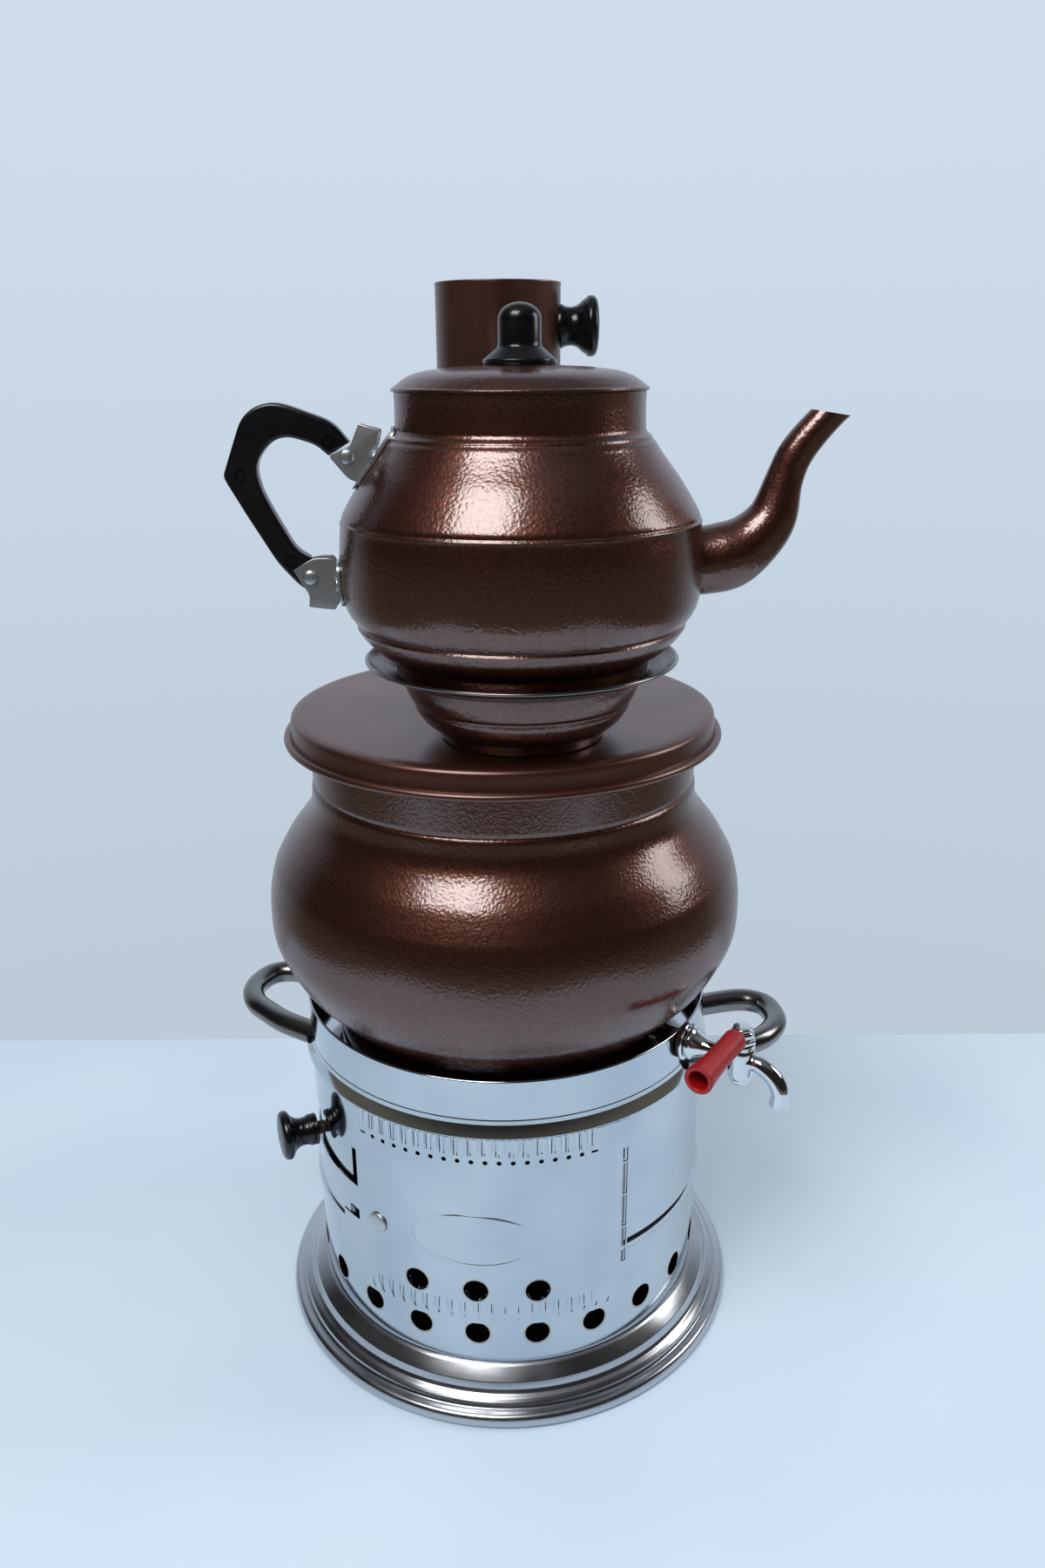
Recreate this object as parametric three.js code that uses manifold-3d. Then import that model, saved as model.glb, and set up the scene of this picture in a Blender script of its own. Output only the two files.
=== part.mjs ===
// A charcoal camping samovar: a round fire base, a pot with a flue through it, a tap,
// a chimney pipe, a flat lid, a teapot seat and a teapot. Lengths are millimetres, +Z is up,
// the origin is on the ground at the middle of the fire base, and the front faces -Y.
// An azimuth is counted in degrees from the front (-Y) towards the right (+X).
import * as THREE from 'three';
import { mergeVertices } from 'three/addons/utils/BufferGeometryUtils.js';
import Module from 'manifold-3d';

const wasm = await Module();
wasm.setup();

// Clearances
const seatGap = 0.3;
const screwGap = 0.25;
const headTopShare = 0.7;
const turningGap = 0.25;
const cutOverrun = 2;

// Counts of faces
const ringSides = 32;
const teapotSides = 24;
const flueSides = 20;
const smallSides = 12;
const screwSides = 8;
const ventSides = 10;
const tubeSides = 8;
const wedgeStepAngle = 20;

// Fire box shell
const shellSheet = 1;
const shellRadius = 109;
const shellHeight = 138.2;
const shellBeadHeight = 58.5;
const shellBeadWidth = 6.7;
const shellBeadDepth = 1.2;
const shellVentCount = 22;
const shellVentHeight = 18.3;
const ventRadius = 6.5;
const ventCutDepth = 6;

// Base ring of pressed sheet
const ringSheet = 1.2;
const ringShoulderStep = 0.8;
const ringShoulderRadius = shellRadius + ringShoulderStep;
const ringFlareWidth = 19.4;
const ringRimRadius = ringShoulderRadius + ringFlareWidth;
const ringRimHeight = 6;
const ringRimRoll = 1.7;
const ringLipWidth = 3.8;
const ringHeight = 24.4;
const ringSeatWidth = 5.8;
const ringMouthRadius = ringShoulderRadius - ringSeatWidth;
const basePlateSheet = 1;
const ringFlareShares = [[0.89, 0.09], [0.73, 0.12], [0.42, 0.36], [0.27, 0.58], [0.11, 0.8]];

// Ash tray that closes the bottom
const traySheet = 1;
const trayDrop = 12.4;
const trayWallLean = 5;
const trayFloorRadius = ringMouthRadius - trayWallLean;
const trayWallClearance = 0.6;
const trayFlangeWidth = 4;

// Air window in the shell and the shutter behind it
const windowFront = -36.5;
const windowBack = -91;
const windowBottom = 85.3;
const windowTop = 108.3;
const shutterSheet = 0.8;
const shutterOverlap = 4;
const shutterGapAngle = 3;
const shutterLapAngle = 3;
const shutterKnobAzimuth = -60;
const railWidth = 2;
const railLipHeight = 3.5;
const railLipThickness = 1;
const railBack = -126;
const railFront = -30;

// Front panel
const panelSheet = 0.8;
const panelBottom = 25.6;
const panelStep = 67.3;
const panelRight = 42;
const panelLeftLow = -43;
const panelLeftHigh = -35.7;
const panelVentCount = 3;
const panelVentHeight = 47.3;
const panelRivetAzimuth = -28.4;
const panelRivetHeight = 73.3;
const panelRivetRadius = 2.4;
const panelRivetHeadRadius = 5.3;
const panelRivetHeadHeight = 1.4;

// Charcoal grate on bent legs
const grateWallGap = 10;
const grateRadius = shellRadius - grateWallGap;
const grateSheet = 1.5;
const grateTop = 85;
const grateSlotWidth = 8;
const grateBarWidth = 11;
const grateRimWidth = 11;
const grateLegCount = 4;
const grateLegAzimuth = 45;
const grateLegWidth = 14;
const grateLegInset = 9;

// Collar that carries the pot
const collarSheet = 1;
const collarHeight = 31.8;
const collarStep = 0.4;
const collarRadius = shellRadius + collarStep;
const collarSkirtDrop = 6.2;
const collarSkirtClearance = 0.8;
const collarBeadBottom = 3.6;
const collarBeadTop = 9.8;
const collarBeadDepth = 2.2;
const collarRimRoll = 1.1;
const collarSeatHeight = 8.5;
const collarSeatWidth = 2.6;

// Pot
const potSheet = 1.2;
const potHeight = 176.9;
const potFootInset = 17.4;
const potFootRadius = collarRadius - potFootInset;
const potFootHeight = 18;
const potFootRounding = 2.6;
const potBellyOverhang = 16;
const potBellyRadius = shellRadius + potBellyOverhang;
const potNeckInset = 9.5;
const potNeckRadius = shellRadius - potNeckInset;
const potNeckLength = 34.9;
const potNeckBottom = potHeight - potNeckLength;
const potFlareHeight = 11.4;
const potNeckTop = potHeight - potFlareHeight;
const potGrooveDepth = 1.4;
const potGrooveWidth = 3;
const potRimFlare = 6;
const potRimRadius = potNeckRadius + potRimFlare;
const potRisingShares = [[0.133, 0.182], [0.215, 0.636], [0.271, 0.818], [0.34, 0.97], [0.41, 1]];
const potClosingShares = [[0.48, 0.971], [0.545, 0.843], [0.6, 0.657], [0.665, 0.402], [0.733, 0.186]];

// Flue and chimney
const headingAngle = 9;
const flueSheet = 1;
const flueRadius = 26;
const flueWallGap = 3.94;
const flueDistance = potFootRadius - flueWallGap - flueRadius;
const flueOffsetX = -flueDistance * Math.sin(radians(headingAngle));
const flueOffsetY = flueDistance * Math.cos(radians(headingAngle));
const flueTail = 2.5;
const chimneyRadius = 32;
const chimneySheet = 0.9;
const chimneyFitClearance = 0.4;
const flueStopRadius = 33.5;
const flueStopHeight = 2.6;
const flueStopRise = 1.5;
const flueFlareHeight = 6;
const flueSocketHeight = 20;
const chimneyLength = 199;
const chimneyKnobDrop = 21;
const lidHoleClearance = 1.7;
const lidHoleRadius = flueStopRadius + lidHoleClearance;

// Pot lid
const lidSheet = 1;
const lidOverhang = 2.7;
const lidRadius = potRimRadius + lidOverhang;
const lidDepth = 14.6;
const lidRounding = 3.8;
const lidBeadDepth = 3.8;
const lidBeadRadius = lidRadius + lidBeadDepth;
const lidBeadHeight = 3.8;
const lidBeadShares = [[0.7, 0], [1, 0.3], [1, 0.7], [0.6, 1], [0, 1]];
const lidRoundingShare = 0.3;

// Teapot seat
const seatSheet = 1;
const seatHeight = 38.5;
const seatFootRadius = 38;
const teapotFootRadius = 58;
const seatLedgeInset = 2.9;
const seatLedgeRadius = teapotFootRadius - seatLedgeInset;
const seatLedgeHeight = 30.5;
const seatLedgeWidth = 3.6;
const seatRimReach = 14.1;
const seatRimRadius = teapotFootRadius + seatRimReach;
const seatRimRoll = 1.2;
const seatStepShares = [[0.15, 0], [0.18, 0.2], [0.34, 0.53], [0.5, 0.71], [0.6, 0.72], [0.64, 0.8],
    [0.8, 0.93], [0.97, 1]];

// Teapot
const teapotSheet = 1;
const teapotHeight = 121.7;
const teapotFootHeight = 7;
const teapotBellyRadius = 81.5;
const teapotNeckRadius = 52.9;
const teapotChimneyGap = 2.9;
const teapotAzimuth = 13.46;
const teapotDistance = teapotBellyRadius + chimneyRadius + teapotChimneyGap;
const seatOffsetX = flueOffsetX + teapotDistance * Math.sin(radians(teapotAzimuth));
const seatOffsetY = flueOffsetY - teapotDistance * Math.cos(radians(teapotAzimuth));
const teapotMouthRadius = 53.8;
const teapotLowerShares = [[0.092, 0.81], [0.137, 0.88], [0.171, 0.911]];
const teapotGrooveShares = [[0.19, 0.902], [0.205, 0.93]];
const teapotBellyShares = [[0.26, 0.982], [0.31, 0.998], [0.39, 1], [0.475, 0.996], [0.527, 0.992]];
const teapotRidgeShares = [[0.541, 1], [0.556, 0.986]];
const teapotShoulderShares = [[0.577, 0.961], [0.638, 0.908], [0.704, 0.844], [0.77, 0.773], [0.826, 0.735]];
const teapotStepShares = [[0.843, 0.719], [0.862, 0.685]];
const teapotWaistShares = [0.917, 0.958];

// Teapot spout
const spoutSheet = 1.3;
const spoutRootRadius = 15.3;
const spoutRootDepth = 12;
const spoutReach = 64;
const spoutRise = 65.4;
const spoutRootHeight = 48;
const spoutHoleRadius = 10;
const spoutSteps = 14;
const spoutSides = 10;
const spoutTipCutTilt = 9;
const spoutTipShare = 0.953;
const spoutPathShares = [[0, 0], [0.174, 0.008], [0.325, 0.046], [0.46, 0.148], [0.563, 0.3], [0.618, 0.541],
    [0.684, 0.729], [0.836, 0.943], [0.993, 1.11]];
const spoutTaperShares = [1, 1, 0.96, 0.79, 0.64, 0.53, 0.5, 0.46, 0.44];

// Teapot handle plate and its brackets
const handleThickness = 9;
const handleReach = 48.1;
const handleDrop = 81.3;
const handleTopHeight = 117.9;
const handleOuterShares = [[-0.37, 0.5], [-0.152, 0.205], [-0.01, 0.1], [0.405, 0.01], [0.55, 0], [0.692, 0.026],
    [0.81, 0.087], [0.9, 0.22], [1, 0.374], [0.98, 0.406], [0.81, 0.592], [0.56, 0.844], [0.38, 0.965],
    [0.2, 1.02]];
const handleInnerShares = [[0.14, 0.87], [0.268, 0.812], [0.39, 0.768], [0.53, 0.616], [0.66, 0.458],
    [0.705, 0.352], [0.67, 0.28], [0.55, 0.2], [0.43, 0.178], [0.335, 0.182], [0.145, 0.219], [0.04, 0.275],
    [-0.1, 0.44]];
const bracketSheet = 1.2;
const bracketSideGap = 0.3;
const bracketWebHalfWidth = 14;
const upperBracketShares = [[0.04, 0.27], [-0.17, 0.22], [-0.24, 0.11], [-0.48, 0.155], [-0.62, 0.2],
    [-0.55, 0.36], [-0.25, 0.42], [-0.135, 0.4]];
const lowerBracketShares = [[0.42, 0.878], [0.233, 0.812], [0.06, 0.813], [-0.1, 0.85], [-0.1, 1.06],
    [0.05, 1.1], [0.29, 1.083], [0.28, 1.02]];
const upperWebTopShare = 0.13;
const upperWebBottomShare = 0.44;
const lowerWebTopShare = 0.83;
const lowerWebBottomShare = 1.07;
const upperRivetShares = [-0.12, 0.3];
const lowerRivetShares = [0.24, 0.93];
const rivetRadius = 2;
const rivetHeadRadius = 3.3;
const rivetHeadHeight = 1.2;
const webRivetSpread = 10;

// Teapot lid and its knob
const coverSheet = 1;
const coverRimRadius = 55.5;
const coverRise = 10;
const coverEdge = 1.4;
const coverPlugRadius = 50.6;
const coverPlugDepth = 6;
const coverPlugSink = 1.6;
const coverTopRadius = 15;
const coverDomeShares = [[0.9, 0.2], [0.72, 0.55], [0.5, 0.82]];
const coverKnobRadius = 15.9;
const coverKnobHeight = 25;
const coverKnobShares = [[0, 1], [0.13, 1], [0.17, 0.95], [0.24, 0.73], [0.34, 0.61], [0.42, 0.59], [0.74, 0.585],
    [0.86, 0.52], [0.95, 0.34]];
const coverScrewDepth = 14;

// Screwed knobs of the chimney and of the shutter
const knobLength = 20;
const knobStemRadius = 9.5;
const knobHeadRadius = 14.7;
const knobShares = [[0.28, 1], [0.45, 1.1], [0.56, 1.3], [0.64, 1.48]];
const knobHeadShares = [[0.7, 1], [0.78, 1], [0.88, 0.94], [0.96, 0.72]];
const shutterKnobLength = 18.4;
const shutterKnobStemRadius = 7.4;
const shutterKnobHeadRadius = 13;
const shutterSpacerLength = 4.2;
const shutterSpacerRadius = 3.6;
const shutterDiscRadius = 8.5;
const shutterDiscThickness = 2;
const screwRadius = 2;
const screwHeadRadius = 4;
const screwHeadHeight = 1.8;
const screwDepth = 10;

// Side handles of bent tube, the right one beside the tap
const tapAzimuth = 64.5;
const gripTubeRadius = 6.2;
const gripHeight = 7.8;
const gripRootDepth = 9.4;
const gripRootX = collarRadius - gripRootDepth;
const gripStandOff = 39.5;
const gripReach = collarRadius + gripStandOff;
const gripShoulderShare = 0.86;
const gripCurveShares = [[0, -1], [0.445, -0.727], [0.727, -0.47], [0.985, -0.18], [1, 0.21], [1, 0.575], [1.03, 0.895],
    [0.774, 1], [0.445, 0.88], [0, 0.606]];
const gripOuterPoints = [4, 5];
const gripTapGap = 7.1;
const gripFrontY = gripTapGap - collarRadius * Math.cos(radians(tapAzimuth));
const gripBackY = 26;
const gripSteps = 18;

// Tap
const tapHeight = 23.8;
const tapStemRadius = 5;
const tapBoreRadius = 3;
const tapSealRadius = 9.4;
const tapSealThickness = 1.5;
const tapWasherRadius = 10;
const tapWasherThickness = 1.5;
const tapNutRadius = 9;
const tapNutThickness = 5;
const tapFlangeRadius = 8.5;
const tapFlangeLength = 3;
const tapConeLength = 5;
const tapNeckRadius = 5.2;
const tapReach = 32.3;
const tapBarrelX = collarRadius + tapReach;
const tapBarrelRadius = 7;
const tapBarrelBottom = -14;
const tapBarrelTop = 9.2;
const tapPlugRadius = 4.6;
const tapPlugFloor = -11;
const tapPinRadius = 2.8;
const tapSpoutRadius = 5;
const tapSpoutBore = 3.4;
const tapSpoutReach = 21.3;
const tapSpoutDrop = 19;
const tapSpoutSteps = 10;
const tapSpoutShares = [[0.12, 0], [0.5, 0.03], [0.82, 0.25], [1, 0.6], [1, 1]];
const glandRadius = 7.2;
const glandHeight = 3;
const leverHubRadius = 5.8;
const leverHubHeight = 3.6;
const leverRodRadius = 2.5;
const leverRodLength = 35;
const leverGripStart = 8.4;
const leverGripLength = 51;
const leverGripRadius = 5.8;
const leverGripEndRadius = 7.2;
const leverGripBore = 4.8;
const capRadius = 5;
const capHeight = 2.4;

// Levels that follow from the sizes above
const shellBottomZ = ringHeight + seatGap;
const shellTopZ = shellBottomZ + shellHeight;
const collarBottomZ = shellTopZ + seatGap;
const collarTopZ = collarBottomZ + collarHeight;
const potBottomZ = collarBottomZ + collarSeatHeight + seatGap;
const potTopZ = potBottomZ + potHeight;
const lidTopZ = potTopZ + seatGap + lidSheet;
const seatBottomZ = lidTopZ + seatGap;
const teapotBottomZ = seatBottomZ + seatLedgeHeight + seatSheet + seatGap;
const teapotTopZ = teapotBottomZ + teapotHeight;
const coverBottomZ = teapotTopZ + seatGap;
const coverTopZ = coverBottomZ + coverRise;
const tapZ = collarBottomZ + tapHeight;
const gripZ = collarBottomZ + gripHeight;
const chimneyBottomZ = lidTopZ + flueStopRise + flueStopHeight + seatGap;
const chimneyTopZ = chimneyBottomZ + chimneyLength;
const panelInnerRadius = shellRadius + shellBeadDepth + seatGap;
const panelOuterRadius = panelInnerRadius + panelSheet;
const flatShare = Math.cos(Math.PI / ringSides);
const shellInnerFlat = (shellRadius - shellSheet) * flatShare;
const shutterOuterRadius = shellInnerFlat - seatGap;
const shutterInnerRadius = shutterOuterRadius - shutterSheet;

// Finishes, with colours from the object
const finishes = {
    brushed: { color: 0xa09a94, roughness: 0.35, metalness: 1 },
    chrome: { color: 0xd4d9de, roughness: 0.12, metalness: 1 },
    hammertone: { color: 0x5a3228, roughness: 0.35, metalness: 0.5 },
    satin: { color: 0x6a3a2c, roughness: 0.4, metalness: 0.5 },
    aluminium: { color: 0xc6c9cb, roughness: 0.4, metalness: 1 },
    bakelite: { color: 0x101012, roughness: 0.25, metalness: 0 },
    redPlastic: { color: 0xbe282d, roughness: 0.4, metalness: 0 },
    rubber: { color: 0x2a2624, roughness: 0.8, metalness: 0 },
    iron: { color: 0x35322f, roughness: 0.7, metalness: 0.8 },
};

const samovar = new THREE.Group();
const chimneyGroup = new THREE.Group();
const teapotGroup = new THREE.Group();
const tapGroup = new THREE.Group();
samovar.add(chimneyGroup, teapotGroup, tapGroup);

function radians(degrees) {
    return THREE.MathUtils.degToRad(degrees);
}

// Turns a closed geometry into a solid, with its faces pointing out.
function solid(geometry) {
    const bare = geometry.clone();
    bare.deleteAttribute('normal');
    bare.deleteAttribute('uv');
    const merged = mergeVertices(bare);
    const places = merged.attributes.position.array;
    const triangles = [];
    let volume = 0;
    const corners = [new THREE.Vector3(), new THREE.Vector3(), new THREE.Vector3()];
    for (let i = 0; i < merged.index.count; i += 3) {
        const trio = [0, 1, 2].map((k) => merged.index.getX(i + k));
        if (new Set(trio).size < 3) continue;
        triangles.push(trio);
        corners.forEach((corner, k) => corner.fromArray(places, trio[k] * 3));
        volume += corners[0].dot(corners[1].clone().cross(corners[2]));
    }
    if (volume < 0) triangles.forEach((trio) => trio.reverse());
    const mesh = new wasm.Mesh({
        numProp: 3,
        vertProperties: new Float32Array(places),
        triVerts: new Uint32Array(triangles.flat()),
    });
    return new wasm.Manifold(mesh);
}

function union(...solids) {
    return solids.reduce((whole, next) => whole.add(next));
}

function cut(body, ...tools) {
    return tools.reduce((left, tool) => left.subtract(tool), body);
}

// Adds one named piece to a group.
function addPiece(name, body, finish, group = samovar) {
    const mesh = body.getMesh();
    const geometry = new THREE.BufferGeometry();
    geometry.setAttribute('position', new THREE.BufferAttribute(new Float32Array(mesh.vertProperties), 3));
    geometry.setIndex(new THREE.BufferAttribute(new Uint32Array(mesh.triVerts), 1));
    geometry.computeVertexNormals();
    const piece = new THREE.Mesh(geometry, new THREE.MeshStandardMaterial(finishes[finish]));
    piece.name = name;
    group.add(piece);
}

// Revolves a loop of [radius, height] points about the Z axis. A loop off the axis is closed.
function revolve(loop, sides) {
    const points = loop.map(([r, z]) => new THREE.Vector2(r, z));
    const onAxis = loop[0][0] === 0 && loop[loop.length - 1][0] === 0;
    if (!onAxis) points.push(points[0].clone());
    const geometry = new THREE.LatheGeometry(points, sides);
    geometry.rotateX(Math.PI / 2);
    return geometry;
}

function turned(loop, sides = smallSides) {
    return solid(revolve(loop, sides));
}

// Moves an outline sideways by a distance, to the left of its direction.
function offsetPath(points, distance) {
    const lefts = [];
    for (let i = 0; i + 1 < points.length; i += 1) {
        const dr = points[i + 1][0] - points[i][0];
        const dz = points[i + 1][1] - points[i][1];
        const span = Math.hypot(dr, dz);
        lefts.push([-dz / span, dr / span]);
    }
    return points.map(([r, z], i) => {
        const before = lefts[Math.max(i - 1, 0)];
        const after = lefts[Math.min(i, lefts.length - 1)];
        const sum = [before[0] + after[0], before[1] + after[1]];
        const scale = distance * 2 / (sum[0] ** 2 + sum[1] ** 2);
        return [r + sum[0] * scale, z + sum[1] * scale];
    });
}

// A pressed sheet: the outline is its outer face, from the bottom up, and the inner face
// follows it without the small beads and grooves, whose points are marked as outside only.
function sheet(outline, thickness, sides) {
    const inner = offsetPath(outline.filter((point) => !point[2]), thickness);
    const outer = outline.map(([r, z]) => [r, z]);
    return turned([...outer, ...inner.reverse()], sides);
}

// The full body inside an outline, grown by a clearance.
function envelope(outline, clearance, sides) {
    const grown = offsetPath(outline.map(([r, z]) => [r, z]), -clearance);
    const top = grown[grown.length - 1];
    const bottom = grown[0];
    const loop = [...grown, [0, top[1]]];
    if (bottom[0] > 0) loop.unshift([0, bottom[1]]);
    return turned(loop, sides);
}

function disc(radius, bottom, top, sides = smallSides) {
    return turned([[0, bottom], [radius, bottom], [radius, top], [0, top]], sides);
}

function tubeRing(innerRadius, outerRadius, bottom, top, sides = smallSides) {
    const loop = [[innerRadius, bottom], [outerRadius, bottom], [outerRadius, top], [innerRadius, top]];
    return turned(loop, sides);
}

// Lays a solid that stands on Z along the X axis, and turns it to an azimuth at a height.
function alongX(body) {
    return body.rotate([0, 90, 0]);
}

function toAzimuth(body, azimuth, z) {
    return body.rotate([0, 0, azimuth - 90]).translate([0, 0, z]);
}

function radialRod(radius, from, to, azimuth, z, sides = ventSides) {
    return toAzimuth(alongX(disc(radius, from, to, sides)), azimuth, z);
}

// A plate of a given outline in the X-Y plane, raised from one height to another.
function plate(points, bottom, top) {
    const shape = new THREE.Shape(points.map(([x, y]) => new THREE.Vector2(x, y)));
    const geometry = new THREE.ExtrudeGeometry(shape, { depth: top - bottom, bevelEnabled: false });
    geometry.translate(0, 0, bottom);
    return solid(geometry);
}

// A wedge about the Z axis between two azimuths.
function wedge(fromAzimuth, toAzimuthAngle, radius, bottom, top) {
    const steps = Math.ceil((toAzimuthAngle - fromAzimuth) / wedgeStepAngle);
    const reach = radius / Math.cos(radians((toAzimuthAngle - fromAzimuth) / steps / 2));
    const points = [[0, 0]];
    for (let i = 0; i <= steps; i += 1) {
        const angle = radians(fromAzimuth + (toAzimuthAngle - fromAzimuth) * i / steps);
        points.push([reach * Math.sin(angle), -reach * Math.cos(angle)]);
    }
    return plate(points, bottom, top);
}

// A curved strip: the part of a ring between two azimuths.
function strip(ring, fromAzimuth, toAzimuthAngle) {
    return ring.intersect(wedge(fromAzimuth, toAzimuthAngle, shellRadius * 2, -cutOverrun, potTopZ));
}

// A round bar of constant radius along a curve.
function bar(curve, radius, steps, sides = tubeSides) {
    const section = new THREE.Shape();
    for (let i = 0; i < sides; i += 1) {
        const angle = 2 * Math.PI * i / sides;
        const move = i === 0 ? 'moveTo' : 'lineTo';
        section[move](radius * Math.cos(angle), radius * Math.sin(angle));
    }
    section.closePath();
    return solid(new THREE.ExtrudeGeometry(section, { steps, extrudePath: curve, bevelEnabled: false }));
}

function vectors(points) {
    return points.map(([x, y, z]) => new THREE.Vector3(x, y, z));
}

function buildBaseRing() {
    const width = ringRimRadius - ringShoulderRadius;
    const rise = ringHeight - ringRimHeight;
    const lipRadius = ringRimRadius - ringLipWidth;
    const flare = ringFlareShares.map(([out, up]) => [ringShoulderRadius + width * out, ringRimHeight + rise * up]);
    const outline = [
        [lipRadius, 0],
        [ringRimRadius - ringRimRoll, 0],
        [ringRimRadius, ringRimRoll],
        [ringRimRadius, ringRimHeight - ringRimRoll],
        [ringRimRadius - ringRimRoll, ringRimHeight],
        ...flare,
        [ringShoulderRadius, ringHeight],
        [ringMouthRadius, ringHeight],
    ];
    addPiece('base_ring', sheet(outline, ringSheet, ringSides), 'brushed');
    addPiece('base_plate', disc(lipRadius - seatGap, 0, basePlateSheet, ringSides), 'brushed');
}

function buildAshTray() {
    const wallRadius = ringMouthRadius - trayWallClearance;
    const floorZ = ringHeight - trayDrop;
    const outline = [
        [0, floorZ],
        [trayFloorRadius, floorZ],
        [wallRadius, floorZ + wallRadius - trayFloorRadius],
        [wallRadius, shellBottomZ],
        [wallRadius + trayFlangeWidth, shellBottomZ],
    ];
    addPiece('ash_tray', sheet(outline, traySheet, ringSides), 'brushed');
}

function ventRow(radius, count, pitch, z) {
    const middle = Math.floor((count - 1) / 2);
    const rods = [];
    for (let i = 0; i < count; i += 1) {
        const azimuth = (i - middle) * pitch;
        rods.push(radialRod(ventRadius, radius - ventCutDepth, radius + ventCutDepth, azimuth, z));
    }
    return rods;
}

function frontVents() {
    const pitch = 360 / shellVentCount;
    return ventRow(panelOuterRadius, panelVentCount, pitch, shellBottomZ + panelVentHeight);
}

function panelRivetHole() {
    const z = shellBottomZ + panelRivetHeight;
    const radius = panelRivetRadius + screwGap;
    return radialRod(radius, shutterInnerRadius, panelOuterRadius + cutOverrun, panelRivetAzimuth, z, screwSides);
}

function buildShell() {
    const beadLow = shellBottomZ + shellBeadHeight - shellBeadWidth / 2;
    const outline = [
        [shellRadius, shellBottomZ],
        [shellRadius, beadLow, true],
        [shellRadius + shellBeadDepth, beadLow + shellBeadWidth / 4, true],
        [shellRadius + shellBeadDepth, beadLow + shellBeadWidth * 3 / 4, true],
        [shellRadius, beadLow + shellBeadWidth, true],
        [shellRadius, shellTopZ],
    ];
    const pitch = 360 / shellVentCount;
    const vents = ventRow(shellRadius, shellVentCount, pitch, shellBottomZ + shellVentHeight);
    const low = shellBottomZ + windowBottom;
    const high = shellBottomZ + windowTop;
    const opening = wedge(windowBack, windowFront, shellRadius * 2, low, high);
    const body = cut(sheet(outline, shellSheet, ringSides), ...vents, ...frontVents(), panelRivetHole(), opening);
    addPiece('firebox_shell', body, 'chrome');
}

function buildShutter() {
    const low = shellBottomZ + windowBottom - shutterOverlap;
    const high = shellBottomZ + windowTop + shutterOverlap;
    const middle = (low + high) / 2;
    const ring = tubeRing(shutterInnerRadius, shutterOuterRadius, low, high, ringSides);
    const curved = strip(ring, windowBack - shutterLapAngle, windowFront - shutterGapAngle);
    const holeRadius = screwRadius + screwGap;
    const hole = radialRod(holeRadius, shutterInnerRadius - cutOverrun, shellRadius, shutterKnobAzimuth, middle, screwSides);
    addPiece('draught_shutter', cut(curved, hole), 'chrome');

    const lipOuter = shutterInnerRadius * flatShare - seatGap;
    const railRadius = shellRadius - shellSheet - seatGap;
    const lipInner = lipOuter - railLipThickness;
    const upper = [
        [lipInner, high - railLipHeight],
        [lipOuter, high - railLipHeight],
        [lipOuter, high + seatGap],
        [railRadius, high + seatGap],
        [railRadius, high + seatGap + railWidth],
        [lipInner, high + seatGap + railWidth],
    ];
    const lower = upper.map(([r, z]) => [r, 2 * middle - z]);
    addPiece('shutter_rail_upper', strip(turned(upper, ringSides), railBack, railFront), 'chrome');
    addPiece('shutter_rail_lower', strip(turned(lower, ringSides), railBack, railFront), 'chrome');
    buildShutterKnob(middle);
}

// A waisted knob that stands on Z, from its foot to its domed end.
function knobBody(foot, length, stemRadius, headRadius) {
    const stem = knobShares.map(([up, out]) => [stemRadius * out, foot + length * up]);
    const head = knobHeadShares.map(([up, out]) => [headRadius * out, foot + length * up]);
    return turned([[0, foot], [stemRadius, foot], ...stem, ...head, [0, foot + length]]);
}

// A screw on Z, with its head below the given height and its shank above.
function screwBody(headTop, depth) {
    const loop = [
        [0, headTop - screwHeadHeight],
        [screwHeadRadius, headTop - screwHeadHeight],
        [screwHeadRadius, headTop],
        [screwRadius, headTop],
        [screwRadius, headTop + depth],
        [0, headTop + depth],
    ];
    return turned(loop, screwSides);
}

function screwHole(from, to) {
    return disc(screwRadius + screwGap, from, to, screwSides);
}

function buildShutterKnob(z) {
    const place = (body) => toAzimuth(alongX(body), shutterKnobAzimuth, z);
    const spacerFrom = shutterOuterRadius + seatGap;
    const spacerTo = spacerFrom + shutterSpacerLength;
    const discFrom = spacerTo + seatGap;
    const discTo = discFrom + shutterDiscThickness;
    const knobFrom = discTo + seatGap;
    const screwFrom = shutterInnerRadius * flatShare - seatGap * 2;
    const screwTo = knobFrom + screwDepth;
    const hole = screwHole(screwFrom - cutOverrun, screwTo + seatGap);
    addPiece('shutter_spacer', place(cut(disc(shutterSpacerRadius, spacerFrom, spacerTo), hole)), 'iron');
    addPiece('shutter_disc', place(cut(disc(shutterDiscRadius, discFrom, discTo), hole)), 'bakelite');
    const knob = knobBody(knobFrom, shutterKnobLength, shutterKnobStemRadius, shutterKnobHeadRadius);
    addPiece('shutter_knob', place(cut(knob, hole)), 'bakelite');
    addPiece('shutter_screw', place(screwBody(screwFrom, screwTo - screwFrom)), 'iron');
}

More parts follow.
